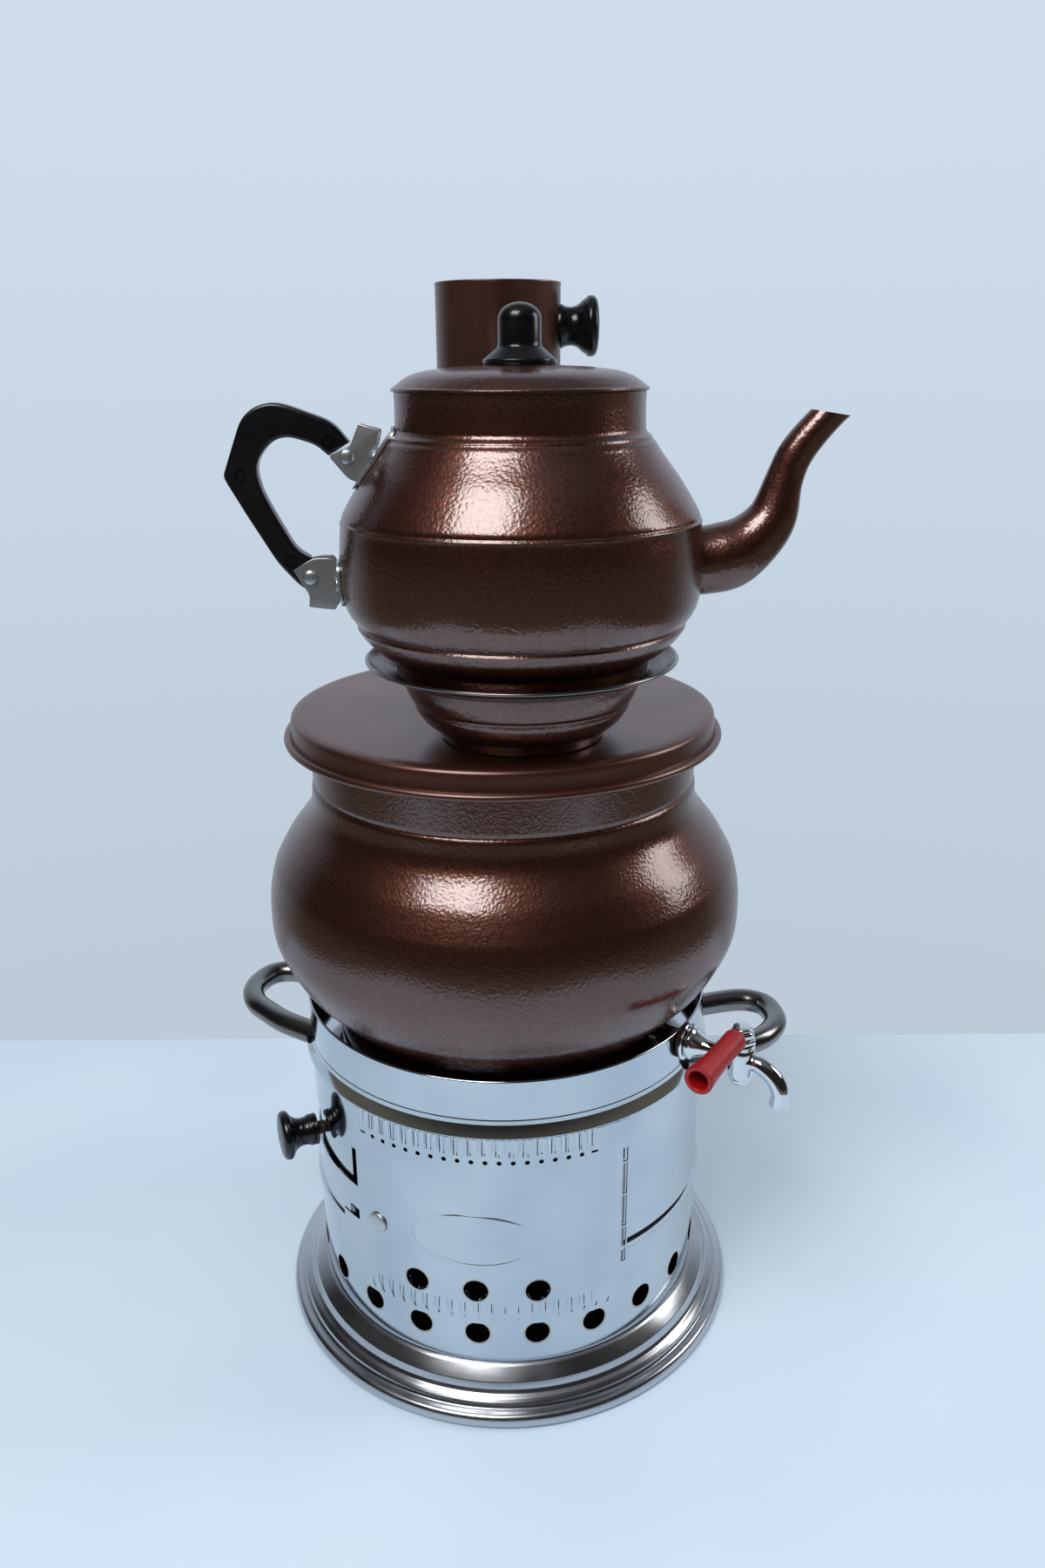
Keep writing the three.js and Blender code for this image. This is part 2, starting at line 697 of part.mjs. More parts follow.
function buildFrontPanel() {
    const bottom = shellBottomZ + panelBottom;
    const ring = tubeRing(panelInnerRadius, panelOuterRadius, bottom, shellTopZ, ringSides);
    const curved = strip(ring, panelLeftLow, panelRight);
    const stepTop = shellTopZ + cutOverrun;
    const step = wedge(panelLeftLow * 2, panelLeftHigh, shellRadius * 2, shellBottomZ + panelStep, stepTop);
    addPiece('front_panel', cut(curved, step, ...frontVents(), panelRivetHole()), 'chrome');

    const headFrom = panelOuterRadius + seatGap;
    const tail = shellRadius - shellSheet - panelRivetHeadHeight;
    const loop = [
        [0, tail],
        [panelRivetRadius, tail],
        [panelRivetRadius, headFrom],
        [panelRivetHeadRadius, headFrom],
        [panelRivetHeadRadius * headTopShare, headFrom + panelRivetHeadHeight],
        [0, headFrom + panelRivetHeadHeight],
    ];
    const z = shellBottomZ + panelRivetHeight;
    addPiece('panel_rivet', toAzimuth(alongX(turned(loop, screwSides)), panelRivetAzimuth, z), 'chrome');
}

function buildGrate() {
    const bottom = grateTop - grateSheet;
    const slots = [];
    const pitch = grateSlotWidth + grateBarWidth;
    const slotsEachSide = Math.floor((grateRadius - grateRimWidth - grateSlotWidth / 2) / pitch);
    for (let i = -slotsEachSide; i <= slotsEachSide; i += 1) {
        const x = i * pitch;
        const edge = Math.abs(x) + grateSlotWidth / 2;
        const half = Math.sqrt((grateRadius - grateRimWidth) ** 2 - edge ** 2);
        const left = x - grateSlotWidth / 2;
        const right = x + grateSlotWidth / 2;
        const corners = [[left, -half], [right, -half], [right, half], [left, half]];
        slots.push(plate(corners, bottom - cutOverrun, grateTop + cutOverrun));
    }
    const legs = [];
    const outer = grateRadius - grateLegInset;
    const foot = ringHeight - trayDrop + traySheet + seatGap;
    for (let i = 0; i < grateLegCount; i += 1) {
        const half = grateLegWidth / 2;
        const corners = [[outer - grateSheet, -half], [outer, -half], [outer, half], [outer - grateSheet, half]];
        legs.push(plate(corners, foot, bottom + grateSheet / 2).rotate([0, 0, grateLegAzimuth + 360 * i / grateLegCount]));
    }
    const body = union(cut(disc(grateRadius, bottom, grateTop, ringSides), ...slots), ...legs);
    addPiece('charcoal_grate', body, 'iron');
}

function collarOutline() {
    const skirtRadius = shellRadius - shellSheet - collarSkirtClearance;
    const beadRadius = collarRadius + collarBeadDepth;
    const beadLow = collarBottomZ + collarBeadBottom;
    const beadHigh = collarBottomZ + collarBeadTop;
    const quarter = (beadHigh - beadLow) / 4;
    return [
        [skirtRadius, collarBottomZ - collarSkirtDrop],
        [skirtRadius, collarBottomZ],
        [collarRadius, collarBottomZ],
        [collarRadius, beadLow, true],
        [beadRadius, beadLow + quarter, true],
        [beadRadius, beadHigh - quarter, true],
        [collarRadius, beadHigh, true],
        [collarRadius, collarTopZ],
    ];
}

function tapHole(from, to) {
    return radialRod(tapStemRadius + screwGap, from, to, tapAzimuth, tapZ, smallSides);
}

function buildCollar() {
    const seatTop = collarBottomZ + collarSeatHeight;
    const seatInner = potFootRadius - collarSeatWidth;
    const seat = tubeRing(seatInner, collarRadius - collarSheet / 2, seatTop - collarSheet, seatTop, ringSides);
    const rollInner = collarRadius - collarSheet - collarRimRoll;
    const roll = tubeRing(rollInner, collarRadius - collarSheet / 2, collarTopZ - collarSheet, collarTopZ, ringSides);
    const body = union(sheet(collarOutline(), collarSheet, ringSides), seat, roll);
    addPiece('pot_collar', cut(body, tapHole(potFootRadius + cutOverrun, collarRadius + cutOverrun)), 'chrome');
}

function collarEnvelope(clearance) {
    const above = collarOutline().slice(2);
    return envelope(above, clearance, ringSides);
}

function buildSideHandles() {
    const shoulder = gripRootX + (gripReach - gripRootX) * gripShoulderShare;
    const centre = (gripFrontY + gripBackY) / 2;
    const half = (gripBackY - gripFrontY) / 2;
    for (const [name, side] of [['left_handle', -1], ['right_handle', 1]]) {
        const points = vectors(gripCurveShares.map(([out, along], i) => {
            const x = gripOuterPoints.includes(i) ? gripReach : gripRootX + (shoulder - gripRootX) * out;
            return [side * x, centre + half * along, gripZ];
        }));
        const curve = new THREE.CatmullRomCurve3(points, false, 'centripetal');
        addPiece(name, cut(bar(curve, gripTubeRadius, gripSteps), collarEnvelope(seatGap)), 'brushed');
    }
}

function potOutline() {
    const grooveZ = potBottomZ + potNeckBottom;
    const bulge = (shares, from) => shares.map(([up, out]) => {
        return [from + (potBellyRadius - from) * out, potBottomZ + potHeight * up];
    });
    return [
        [0, potBottomZ],
        [potFootRadius - potFootRounding, potBottomZ],
        [potFootRadius, potBottomZ + potFootRounding],
        [potFootRadius, potBottomZ + potFootHeight],
        ...bulge(potRisingShares, potFootRadius),
        ...bulge(potClosingShares, potNeckRadius),
        [potNeckRadius + potGrooveDepth, grooveZ - potGrooveWidth / 2, true],
        [potNeckRadius - potGrooveDepth / 2, grooveZ, true],
        [potNeckRadius, grooveZ + potGrooveWidth / 2],
        [potNeckRadius, potBottomZ + potNeckTop],
        [potRimRadius, potTopZ - potSheet],
    ];
}

function flueHole(radius, from, to) {
    return disc(radius, from, to, flueSides).rotate([0, 0, headingAngle]).translate([flueOffsetX, flueOffsetY, 0]);
}

function buildPot() {
    const shell = sheet(potOutline(), potSheet, ringSides);
    const reach = potBottomZ + potFootRounding;
    const holes = [
        tapHole(potFootRadius - tapNutRadius, potFootRadius + cutOverrun),
        flueHole(flueRadius + seatGap, potBottomZ - cutOverrun, reach),
    ];
    addPiece('boiler_pot', cut(shell, ...holes), 'hammertone');
}

function buildFlue() {
    const socketRadius = chimneyRadius - chimneySheet - chimneyFitClearance;
    const stopLow = lidTopZ + flueStopRise;
    const stopHigh = stopLow + flueStopHeight;
    const outline = [
        [flueRadius, potBottomZ - flueTail],
        [flueRadius, potTopZ - flueFlareHeight],
        [socketRadius, potTopZ + seatGap],
        [socketRadius, stopLow - flueStopHeight / 4, true],
        [flueStopRadius, stopLow + flueStopHeight / 4, true],
        [flueStopRadius, stopHigh, true],
        [socketRadius, stopHigh, true],
        [socketRadius, stopHigh + flueSocketHeight],
    ];
    addPiece('flue_tube', sheet(outline, flueSheet, flueSides), 'satin', chimneyGroup);
}

function buildChimney() {
    const pipe = tubeRing(chimneyRadius - chimneySheet, chimneyRadius, chimneyBottomZ, chimneyTopZ, flueSides);
    const knobZ = chimneyTopZ - chimneyKnobDrop;
    const place = (body) => alongX(body).translate([0, 0, knobZ]);
    const foot = chimneyRadius - cutOverrun;
    const innerFlat = (chimneyRadius - chimneySheet) * Math.cos(Math.PI / flueSides);
    const screwFrom = Math.sqrt(innerFlat ** 2 - screwHeadRadius ** 2) - seatGap;
    const screwTo = chimneyRadius + screwDepth;
    const hole = place(screwHole(screwFrom - cutOverrun, screwTo + seatGap));
    const wrap = disc(chimneyRadius + seatGap, chimneyBottomZ, chimneyTopZ, flueSides);
    const knob = place(knobBody(foot, knobLength + cutOverrun, knobStemRadius, knobHeadRadius));
    addPiece('chimney_pipe', cut(pipe, hole), 'satin', chimneyGroup);
    addPiece('chimney_knob', cut(knob, wrap, hole), 'bakelite', chimneyGroup);
    addPiece('chimney_screw', place(screwBody(screwFrom, screwTo - screwFrom)), 'iron', chimneyGroup);
}

function buildPotLid() {
    const bottom = lidTopZ - lidDepth;
    const outline = [
        [lidRadius, bottom],
        ...lidBeadShares.map(([out, up]) => [lidRadius + lidBeadDepth * out, bottom + lidBeadHeight * up, true]),
        [lidRadius, lidTopZ - lidRounding],
        [lidRadius - lidRounding * lidRoundingShare, lidTopZ - lidRounding * lidRoundingShare],
        [lidRadius - lidRounding, lidTopZ],
        [0, lidTopZ],
    ];
    const hole = flueHole(lidHoleRadius, bottom, lidTopZ + cutOverrun);
    addPiece('pot_lid', cut(sheet(outline, lidSheet, ringSides), hole), 'satin');
}

function buildSeat() {
    const flare = seatLedgeRadius - seatFootRadius;
    const steps = seatStepShares.map(([up, out]) => {
        return [seatFootRadius + flare * out, seatBottomZ + seatLedgeHeight * up];
    });
    const ledgeZ = seatBottomZ + seatLedgeHeight;
    const rimZ = seatBottomZ + seatHeight - seatRimRoll;
    const outline = [
        [0, seatBottomZ],
        [seatFootRadius, seatBottomZ],
        ...steps,
        [seatLedgeRadius, ledgeZ],
        [seatLedgeRadius + seatLedgeWidth, ledgeZ],
        [seatRimRadius - seatRimRoll, rimZ],
        [seatRimRadius, rimZ],
    ];
    addPiece('teapot_seat', sheet(outline, seatSheet, teapotSides), 'hammertone', teapotGroup);
}

function teapotOutline() {
    const at = (mark) => ([up, out]) => [teapotBellyRadius * out, teapotBottomZ + teapotHeight * up, mark];
    const waist = teapotWaistShares.map((up) => [teapotNeckRadius, teapotBottomZ + teapotHeight * up]);
    return [
        [0, teapotBottomZ],
        [teapotFootRadius - teapotSheet, teapotBottomZ],
        [teapotFootRadius, teapotBottomZ + teapotSheet],
        [teapotFootRadius, teapotBottomZ + teapotFootHeight],
        ...teapotLowerShares.map(at(false)),
        ...teapotGrooveShares.map(at(true)),
        ...teapotBellyShares.map(at(false)),
        ...teapotRidgeShares.map(at(true)),
        ...teapotShoulderShares.map(at(false)),
        ...teapotStepShares.map(at(true)),
        ...waist,
        [teapotMouthRadius, teapotTopZ],
    ];
}

function teapotEnvelope(clearance) {
    return envelope(teapotOutline(), clearance, teapotSides);
}

// Points on the handle plate: a share of its reach beyond the belly, and of its drop from the top.
function handlePoint([out, down]) {
    const x = -(teapotBellyRadius + handleReach * out);
    return [x, teapotBottomZ + handleTopHeight - handleDrop * down];
}

// A plate in the teapot's X-Z plane, as thick as given, about the middle.
function uprightPlate(points, thickness) {
    return plate(points, -thickness / 2, thickness / 2).rotate([90, 0, 0]);
}

function crossRod(radius, halfLength, [x, z], sides = screwSides) {
    return disc(radius, -halfLength, halfLength, sides).rotate([90, 0, 0]).translate([x, 0, z]);
}

// Two places side by side on the bracket's web: the height, the turn about the teapot's axis,
// and the distance and tilt of the teapot's face there.
function webRivetPlaces(topShare, bottomShare) {
    const z = handlePoint([0, (topShare + bottomShare) / 2])[1];
    const outline = teapotOutline();
    const next = outline.findIndex((point) => point[1] > z);
    const [r0, z0] = outline[next - 1];
    const [r1, z1] = outline[next];
    const radius = r0 + (r1 - r0) * (z - z0) / (z1 - z0);
    const tilt = THREE.MathUtils.radToDeg(Math.atan2(z1 - z0, r0 - r1));
    const turn = THREE.MathUtils.radToDeg(webRivetSpread / radius);
    return [-turn, turn].map((angle) => ({ z, radius, tilt, turn: 180 + angle }));
}

function onTeapotFace(body, { z, radius, tilt, turn }) {
    return body.rotate([0, tilt, 0]).translate([radius, 0, z]).rotate([0, 0, turn]);
}

function webRivet(place) {
    const face = bracketSheet + seatGap * 3;
    const tail = -teapotSheet - rivetHeadHeight;
    const loop = [
        [0, tail],
        [rivetRadius, tail],
        [rivetRadius, face],
        [rivetHeadRadius, face],
        [rivetHeadRadius * headTopShare, face + rivetHeadHeight],
        [0, face + rivetHeadHeight],
    ];
    return onTeapotFace(turned(loop, screwSides), place);
}

function rivetBore(place) {
    const bore = disc(rivetRadius + screwGap, -bracketWebHalfWidth, bracketWebHalfWidth, screwSides);
    return onTeapotFace(bore, place);
}

function buildTeapotHandle(rivetBores) {
    const outline = [...handleOuterShares, ...handleInnerShares].map(handlePoint);
    const rivets = { upper: handlePoint(upperRivetShares), lower: handlePoint(lowerRivetShares) };
    const grip = uprightPlate(outline, handleThickness);
    const clearanceHoles = Object.values(rivets).map((place) => crossRod(rivetRadius + screwGap, handleThickness, place));
    const reachOver = teapotEnvelope(seatGap * 2 + bracketSheet + seatGap);
    addPiece('teapot_handle', cut(grip, reachOver, ...clearanceHoles), 'bakelite', teapotGroup);

    const channel = handleThickness + bracketSideGap * 2;
    const width = channel + bracketSheet * 2;
    const webs = {
        upper: [upperWebTopShare, upperWebBottomShare],
        lower: [lowerWebTopShare, lowerWebBottomShare],
    };
    const cheeks = { upper: upperBracketShares, lower: lowerBracketShares };
    const inside = teapotEnvelope(seatGap);
    const outside = teapotEnvelope(seatGap + bracketSheet);
    for (const place of ['upper', 'lower']) {
        const points = cheeks[place].map(handlePoint);
        const slot = uprightPlate(outline, channel);
        const [top, bottom] = webs[place].map((share) => handlePoint([0, share])[1]);
        const far = handlePoint([1, 0])[0];
        const corners = [
            [far, -bracketWebHalfWidth],
            [0, -bracketWebHalfWidth],
            [0, bracketWebHalfWidth],
            [far, bracketWebHalfWidth],
        ];
        const web = cut(plate(corners, bottom, top).intersect(outside), inside);
        const holes = rivetBores[place];
        const pinHole = crossRod(rivetRadius + screwGap, width, rivets[place]);
        const body = cut(union(cut(uprightPlate(points, width), slot, inside), web), pinHole, ...holes);
        addPiece(`${place}_bracket`, largestPart(body), 'aluminium', teapotGroup);
        addPiece(`${place}_handle_rivet`, pinRivet(rivets[place], width), 'aluminium', teapotGroup);
    }
}

// The largest of the separate parts that a cut leaves.
function largestPart(body) {
    return body.decompose().reduce((best, part) => (part.volume() > best.volume() ? part : best));
}

// A rivet across the handle, with a head outside each cheek of its bracket.
function pinRivet([x, z], width) {
    const half = width / 2 + seatGap;
    const end = half + rivetHeadHeight;
    const loop = [
        [0, -end],
        [rivetHeadRadius * headTopShare, -end],
        [rivetHeadRadius, -half],
        [rivetRadius, -half],
        [rivetRadius, half],
        [rivetHeadRadius, half],
        [rivetHeadRadius * headTopShare, end],
        [0, end],
    ];
    return turned(loop, screwSides).rotate([90, 0, 0]).translate([x, 0, z]);
}

// A tapering tube along the spout's path, from a cylinder whose points are moved onto it.
function spoutTube(curve, inset) {
    const geometry = new THREE.CylinderGeometry(1, 1, 1, spoutSides, spoutSteps);
    const position = geometry.attributes.position;
    const last = spoutTaperShares.length - 1;
    for (let i = 0; i < position.count; i += 1) {
        const along = position.getY(i) + 0.5;
        const place = curve.getPointAt(along);
        const way = curve.getTangentAt(along);
        const step = Math.min(Math.floor(along * last), last - 1);
        const blend = along * last - step;
        const share = spoutTaperShares[step] * (1 - blend) + spoutTaperShares[step + 1] * blend;
        const radius = spoutRootRadius * share - inset;
        const out = position.getX(i) * radius;
        const side = position.getZ(i) * radius;
        position.setXYZ(i, place.x - way.z * out, place.y + side, place.z + way.x * out);
    }
    return solid(geometry);
}

function spoutCurve() {
    const rootX = teapotBellyRadius - spoutRootDepth;
    const rootZ = teapotBottomZ + spoutRootHeight;
    const reach = spoutReach + spoutRootDepth;
    const points = spoutPathShares.map(([out, up]) => [rootX + reach * out, 0, rootZ + spoutRise * up]);
    return new THREE.CatmullRomCurve3(vectors(points), false, 'centripetal');
}

function buildTeapot() {
    const places = {
        upper: webRivetPlaces(upperWebTopShare, upperWebBottomShare),
        lower: webRivetPlaces(lowerWebTopShare, lowerWebBottomShare),
    };
    const bores = { upper: places.upper.map(rivetBore), lower: places.lower.map(rivetBore) };
    const spoutHole = disc(spoutHoleRadius, teapotNeckRadius, teapotBellyRadius + cutOverrun)
        .rotate([0, 90, 0]).translate([0, 0, teapotBottomZ + spoutRootHeight]);
    const shell = sheet(teapotOutline(), teapotSheet, teapotSides);
    addPiece('teapot_body', cut(shell, spoutHole, ...bores.upper, ...bores.lower), 'hammertone', teapotGroup);

    const curve = spoutCurve();
    const tipZ = teapotBottomZ + spoutRootHeight + spoutRise * spoutTipShare;
    const tipX = teapotBellyRadius + spoutReach;
    const half = spoutReach;
    const corners = [[-half, -half], [half, -half], [half, half], [-half, half]];
    const tipCut = plate(corners, 0, half).rotate([0, spoutTipCutTilt, 0]).translate([tipX, 0, tipZ]);
    const spout = cut(spoutTube(curve, 0), spoutTube(curve, spoutSheet), teapotEnvelope(seatGap), tipCut);
    addPiece('teapot_spout', largestPart(spout), 'hammertone', teapotGroup);

    buildTeapotHandle(bores);
    for (const level of ['upper', 'lower']) {
        places[level].forEach((place, i) => {
            const side = ['left', 'right'][i];
            addPiece(`${level}_web_rivet_${side}`, webRivet(place), 'aluminium', teapotGroup);
        });
    }
}

function buildTeapotLid() {
    const dome = coverDomeShares.map(([out, up]) => [coverRimRadius * out, coverBottomZ + coverRise * up]);
    const outline = [
        [coverRimRadius, coverBottomZ],
        [coverRimRadius, coverBottomZ + coverEdge],
        ...dome,
        [coverTopRadius, coverTopZ],
        [0, coverTopZ],
    ];
    const plugTop = coverBottomZ + coverEdge + coverPlugSink;
    const plug = tubeRing(
        coverPlugRadius - coverSheet,
        coverPlugRadius,
        coverBottomZ - coverPlugDepth,
        plugTop,
        teapotSides,
    );
    const hole = screwHole(coverBottomZ, coverTopZ + cutOverrun);
    const lid = cut(union(sheet(outline, coverSheet, teapotSides), plug), hole);
    addPiece('teapot_lid', lid, 'hammertone', teapotGroup);

    const foot = coverTopZ + seatGap;
    const sides = coverKnobShares.map(([up, out]) => [coverKnobRadius * out, foot + coverKnobHeight * up]);
    const screwFrom = coverTopZ - coverSheet - seatGap;
    const screwTo = foot + coverScrewDepth;
    const knob = turned([[0, foot], ...sides, [0, foot + coverKnobHeight]], smallSides);
    addPiece('lid_knob', cut(knob, screwHole(coverTopZ, screwTo + seatGap)), 'bakelite', teapotGroup);
    addPiece('lid_knob_screw', screwBody(screwFrom, screwTo - screwFrom), 'iron', teapotGroup);
}

function insideFlat(radius, halfWidth) {
    return Math.sqrt((radius * flatShare) ** 2 - halfWidth ** 2);
}

// The tap is built with its stem along +X and its valve upright, about its own middle line.
function tapSpoutCurve() {
    const points = tapSpoutShares.map(([out, down]) => [tapBarrelX + tapSpoutReach * out, 0, -tapSpoutDrop * down]);
    return new THREE.CatmullRomCurve3(vectors(points), false, 'centripetal');
}

function buildTapBody() {
    const innerWall = potFootRadius - potSheet;
    const innerSealTo = insideFlat(innerWall, tapSealRadius) - seatGap;
    const innerSealFrom = innerSealTo - tapSealThickness;
    const nutTo = innerSealFrom - seatGap;
    const nutFrom = nutTo - tapNutThickness;
    const sealFrom = collarRadius + seatGap;
    const sealTo = sealFrom + tapSealThickness;
    const washerFrom = sealTo + seatGap;
    const washerTo = washerFrom + tapWasherThickness;
    const flangeFrom = washerTo + seatGap;
    const stemFrom = nutFrom - cutOverrun;
    const hole = alongX(disc(tapStemRadius + screwGap, stemFrom, flangeFrom, smallSides));
    const ring = (radius, from, to, sides) => cut(alongX(disc(radius, from, to, sides)), hole);
    addPiece('tap_inner_seal', ring(tapSealRadius, innerSealFrom, innerSealTo, smallSides), 'rubber', tapGroup);
    addPiece('tap_back_nut', ring(tapNutRadius, nutFrom, nutTo, 6), 'chrome', tapGroup);
    addPiece('tap_outer_seal', ring(tapSealRadius, sealFrom, sealTo, smallSides), 'rubber', tapGroup);
    addPiece('tap_washer', ring(tapWasherRadius, washerFrom, washerTo, smallSides), 'chrome', tapGroup);

    const stem = turned([
        [0, stemFrom],
        [tapStemRadius, stemFrom],
        [tapStemRadius, flangeFrom],
        [tapFlangeRadius, flangeFrom],
        [tapFlangeRadius, flangeFrom + tapFlangeLength],
        [tapNeckRadius, flangeFrom + tapFlangeLength + tapConeLength],
        [tapNeckRadius, tapBarrelX],
        [0, tapBarrelX],
    ]);
    const bore = alongX(disc(tapBoreRadius, stemFrom - cutOverrun, tapBarrelX, smallSides));
    const barrel = disc(tapBarrelRadius, tapBarrelBottom, tapBarrelTop).translate([tapBarrelX, 0, 0]);
    const plugBore = disc(tapPlugRadius + turningGap, tapPlugFloor - turningGap, tapBarrelTop + cutOverrun)
        .translate([tapBarrelX, 0, 0]);
    const curve = tapSpoutCurve();
    const spout = bar(curve, tapSpoutRadius, tapSpoutSteps);
    const spoutBore = bar(longer(curve), tapSpoutBore, tapSpoutSteps);
    addPiece('tap_body', cut(union(alongX(stem), barrel, spout), bore, plugBore, spoutBore), 'chrome', tapGroup);
}

// The same path, carried on past both of its ends, for a bore that opens out.
function longer(curve) {
    const points = curve.points.map((point) => point.clone());
    const last = points[points.length - 1];
    const first = points[0];
    points.unshift(new THREE.Vector3(first.x - cutOverrun, first.y, first.z));
    points.push(new THREE.Vector3(last.x, last.y, last.z - cutOverrun));
    return new THREE.CatmullRomCurve3(points, false, 'centripetal');
}

function buildTapValve() {
    const glandFrom = tapBarrelTop + seatGap;
    const glandTo = glandFrom + glandHeight;
    const hubFrom = glandTo + seatGap;
    const hubTo = hubFrom + leverHubHeight;
    const capFrom = hubTo + seatGap;
    const capTo = capFrom + capHeight;
    const pinTop = capFrom + capHeight / 2;
    const pinHole = disc(tapPinRadius + turningGap, glandFrom - cutOverrun, pinTop + turningGap);
    const onValve = (body) => body.translate([tapBarrelX, 0, 0]);

    const plugTop = tapBarrelTop - turningGap;
    const plug = turned([
        [0, tapPlugFloor],
        [tapPlugRadius, tapPlugFloor],
        [tapPlugRadius, plugTop],
        [tapPinRadius, plugTop],
        [tapPinRadius, pinTop],
        [0, pinTop],
    ]);
    const port = disc(tapBoreRadius, -tapBarrelRadius, tapBarrelRadius).rotate([90, 0, 0]);
    addPiece('tap_plug', onValve(cut(plug, port)), 'chrome', tapGroup);
    addPiece('tap_gland_nut', onValve(cut(disc(glandRadius, glandFrom, glandTo, 6), pinHole)), 'chrome', tapGroup);

    const axisZ = (hubFrom + hubTo) / 2 + (leverRodRadius - leverHubHeight / 2);
    const layBack = (body) => body.rotate([90, 0, 0]).translate([0, 0, axisZ]);
    const rod = layBack(disc(leverRodRadius, 0, leverRodLength, tubeSides));
    const hub = disc(leverHubRadius, hubFrom, hubTo);
    const clear = disc(leverHubRadius * 2, hubTo, hubTo + leverHubRadius * 2, screwSides);
    addPiece('tap_lever', onValve(cut(union(hub, rod), pinHole, clear)), 'chrome', tapGroup);
    addPiece('tap_cap', onValve(cut(capBody(capFrom, capTo), pinHole)), 'chrome', tapGroup);

    const boreTo = leverRodLength + seatGap;
    const grip = turned([
        [leverRodRadius + seatGap, leverGripStart],
        [leverGripRadius, leverGripStart],
        [leverGripEndRadius, leverGripLength],
        [leverGripBore, leverGripLength],
        [leverGripBore, boreTo],
        [leverRodRadius + seatGap, boreTo],
    ]);
    addPiece('tap_grip', onValve(layBack(grip)), 'redPlastic', tapGroup);
}

function capBody(from, to) {
    return turned([[0, from], [capRadius, from], [capRadius, (from + to) / 2], [capRadius * headTopShare, to], [0, to]]);
}

buildBaseRing();
buildAshTray();
buildShell();
buildShutter();
buildFrontPanel();
buildGrate();
buildCollar();
buildSideHandles();
buildPot();
buildFlue();
buildChimney();
buildPotLid();
buildSeat();
buildTeapot();
buildTeapotLid();
buildTapBody();
buildTapValve();

chimneyGroup.position.set(flueOffsetX, flueOffsetY, 0);
chimneyGroup.rotation.z = radians(headingAngle);
teapotGroup.position.set(seatOffsetX, seatOffsetY, 0);
teapotGroup.rotation.z = radians(headingAngle);
tapGroup.position.set(0, 0, tapZ);
tapGroup.rotation.z = radians(tapAzimuth - 90);

export default samovar;
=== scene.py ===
# %% [markdown]
# # A charcoal samovar, piece by piece
# A camping samovar is a stack of thin round sheet metal: a fire base, a pot with a tap, a lid, a small
# dish and a teapot, with a chimney pipe behind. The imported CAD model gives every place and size. This
# lesson turns each piece again with smooth curves, and gives it the paint or metal of the real one.

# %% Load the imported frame
import math

import bmesh
import bpy
from mathutils import Matrix, Vector


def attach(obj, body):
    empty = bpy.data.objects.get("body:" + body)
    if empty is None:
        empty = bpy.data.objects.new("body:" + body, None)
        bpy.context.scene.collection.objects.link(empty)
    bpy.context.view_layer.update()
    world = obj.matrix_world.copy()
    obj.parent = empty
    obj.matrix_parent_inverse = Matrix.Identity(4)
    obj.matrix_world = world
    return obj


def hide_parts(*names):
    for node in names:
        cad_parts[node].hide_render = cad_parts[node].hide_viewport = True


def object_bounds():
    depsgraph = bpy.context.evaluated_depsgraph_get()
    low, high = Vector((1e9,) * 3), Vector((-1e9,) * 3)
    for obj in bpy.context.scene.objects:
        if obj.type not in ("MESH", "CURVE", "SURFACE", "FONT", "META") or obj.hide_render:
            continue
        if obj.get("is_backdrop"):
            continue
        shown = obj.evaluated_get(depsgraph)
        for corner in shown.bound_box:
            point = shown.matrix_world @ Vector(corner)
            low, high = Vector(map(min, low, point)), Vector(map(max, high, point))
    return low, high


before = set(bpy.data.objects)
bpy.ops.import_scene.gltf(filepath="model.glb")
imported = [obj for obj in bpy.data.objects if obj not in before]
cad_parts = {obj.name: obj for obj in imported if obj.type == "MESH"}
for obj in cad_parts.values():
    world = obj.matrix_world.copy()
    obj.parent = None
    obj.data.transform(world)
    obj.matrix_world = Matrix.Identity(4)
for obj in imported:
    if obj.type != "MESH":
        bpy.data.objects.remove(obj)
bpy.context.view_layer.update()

# %% [markdown]
# ## Node trees written as sums
# A material is a network of nodes. Wiring it by hand hides the idea, so a socket is wrapped in a small
# class that takes part in Python sums: `1 - mask` adds a Math node. Every other node comes from one
# method, which takes the node's type, its settings and what its sockets get.

# %% A socket that can be added, taken away and multiplied
class Wire:
    def __init__(self, nodes, socket):
        self.nodes, self.socket = nodes, socket

    def joined(self, operation, *inputs):
        return self.nodes.node("ShaderNodeMath", {"operation": operation}, dict(enumerate(inputs)))

    def __add__(self, other):
        return self.joined("ADD", self, other)

    def __radd__(self, other):
        return self.joined("ADD", other, self)

    def __sub__(self, other):
        return self.joined("SUBTRACT", self, other)

    def __rsub__(self, other):
        return self.joined("SUBTRACT", other, self)

    def __mul__(self, other):
        return self.joined("MULTIPLY", self, other)

    def __rmul__(self, other):
        return self.joined("MULTIPLY", other, self)


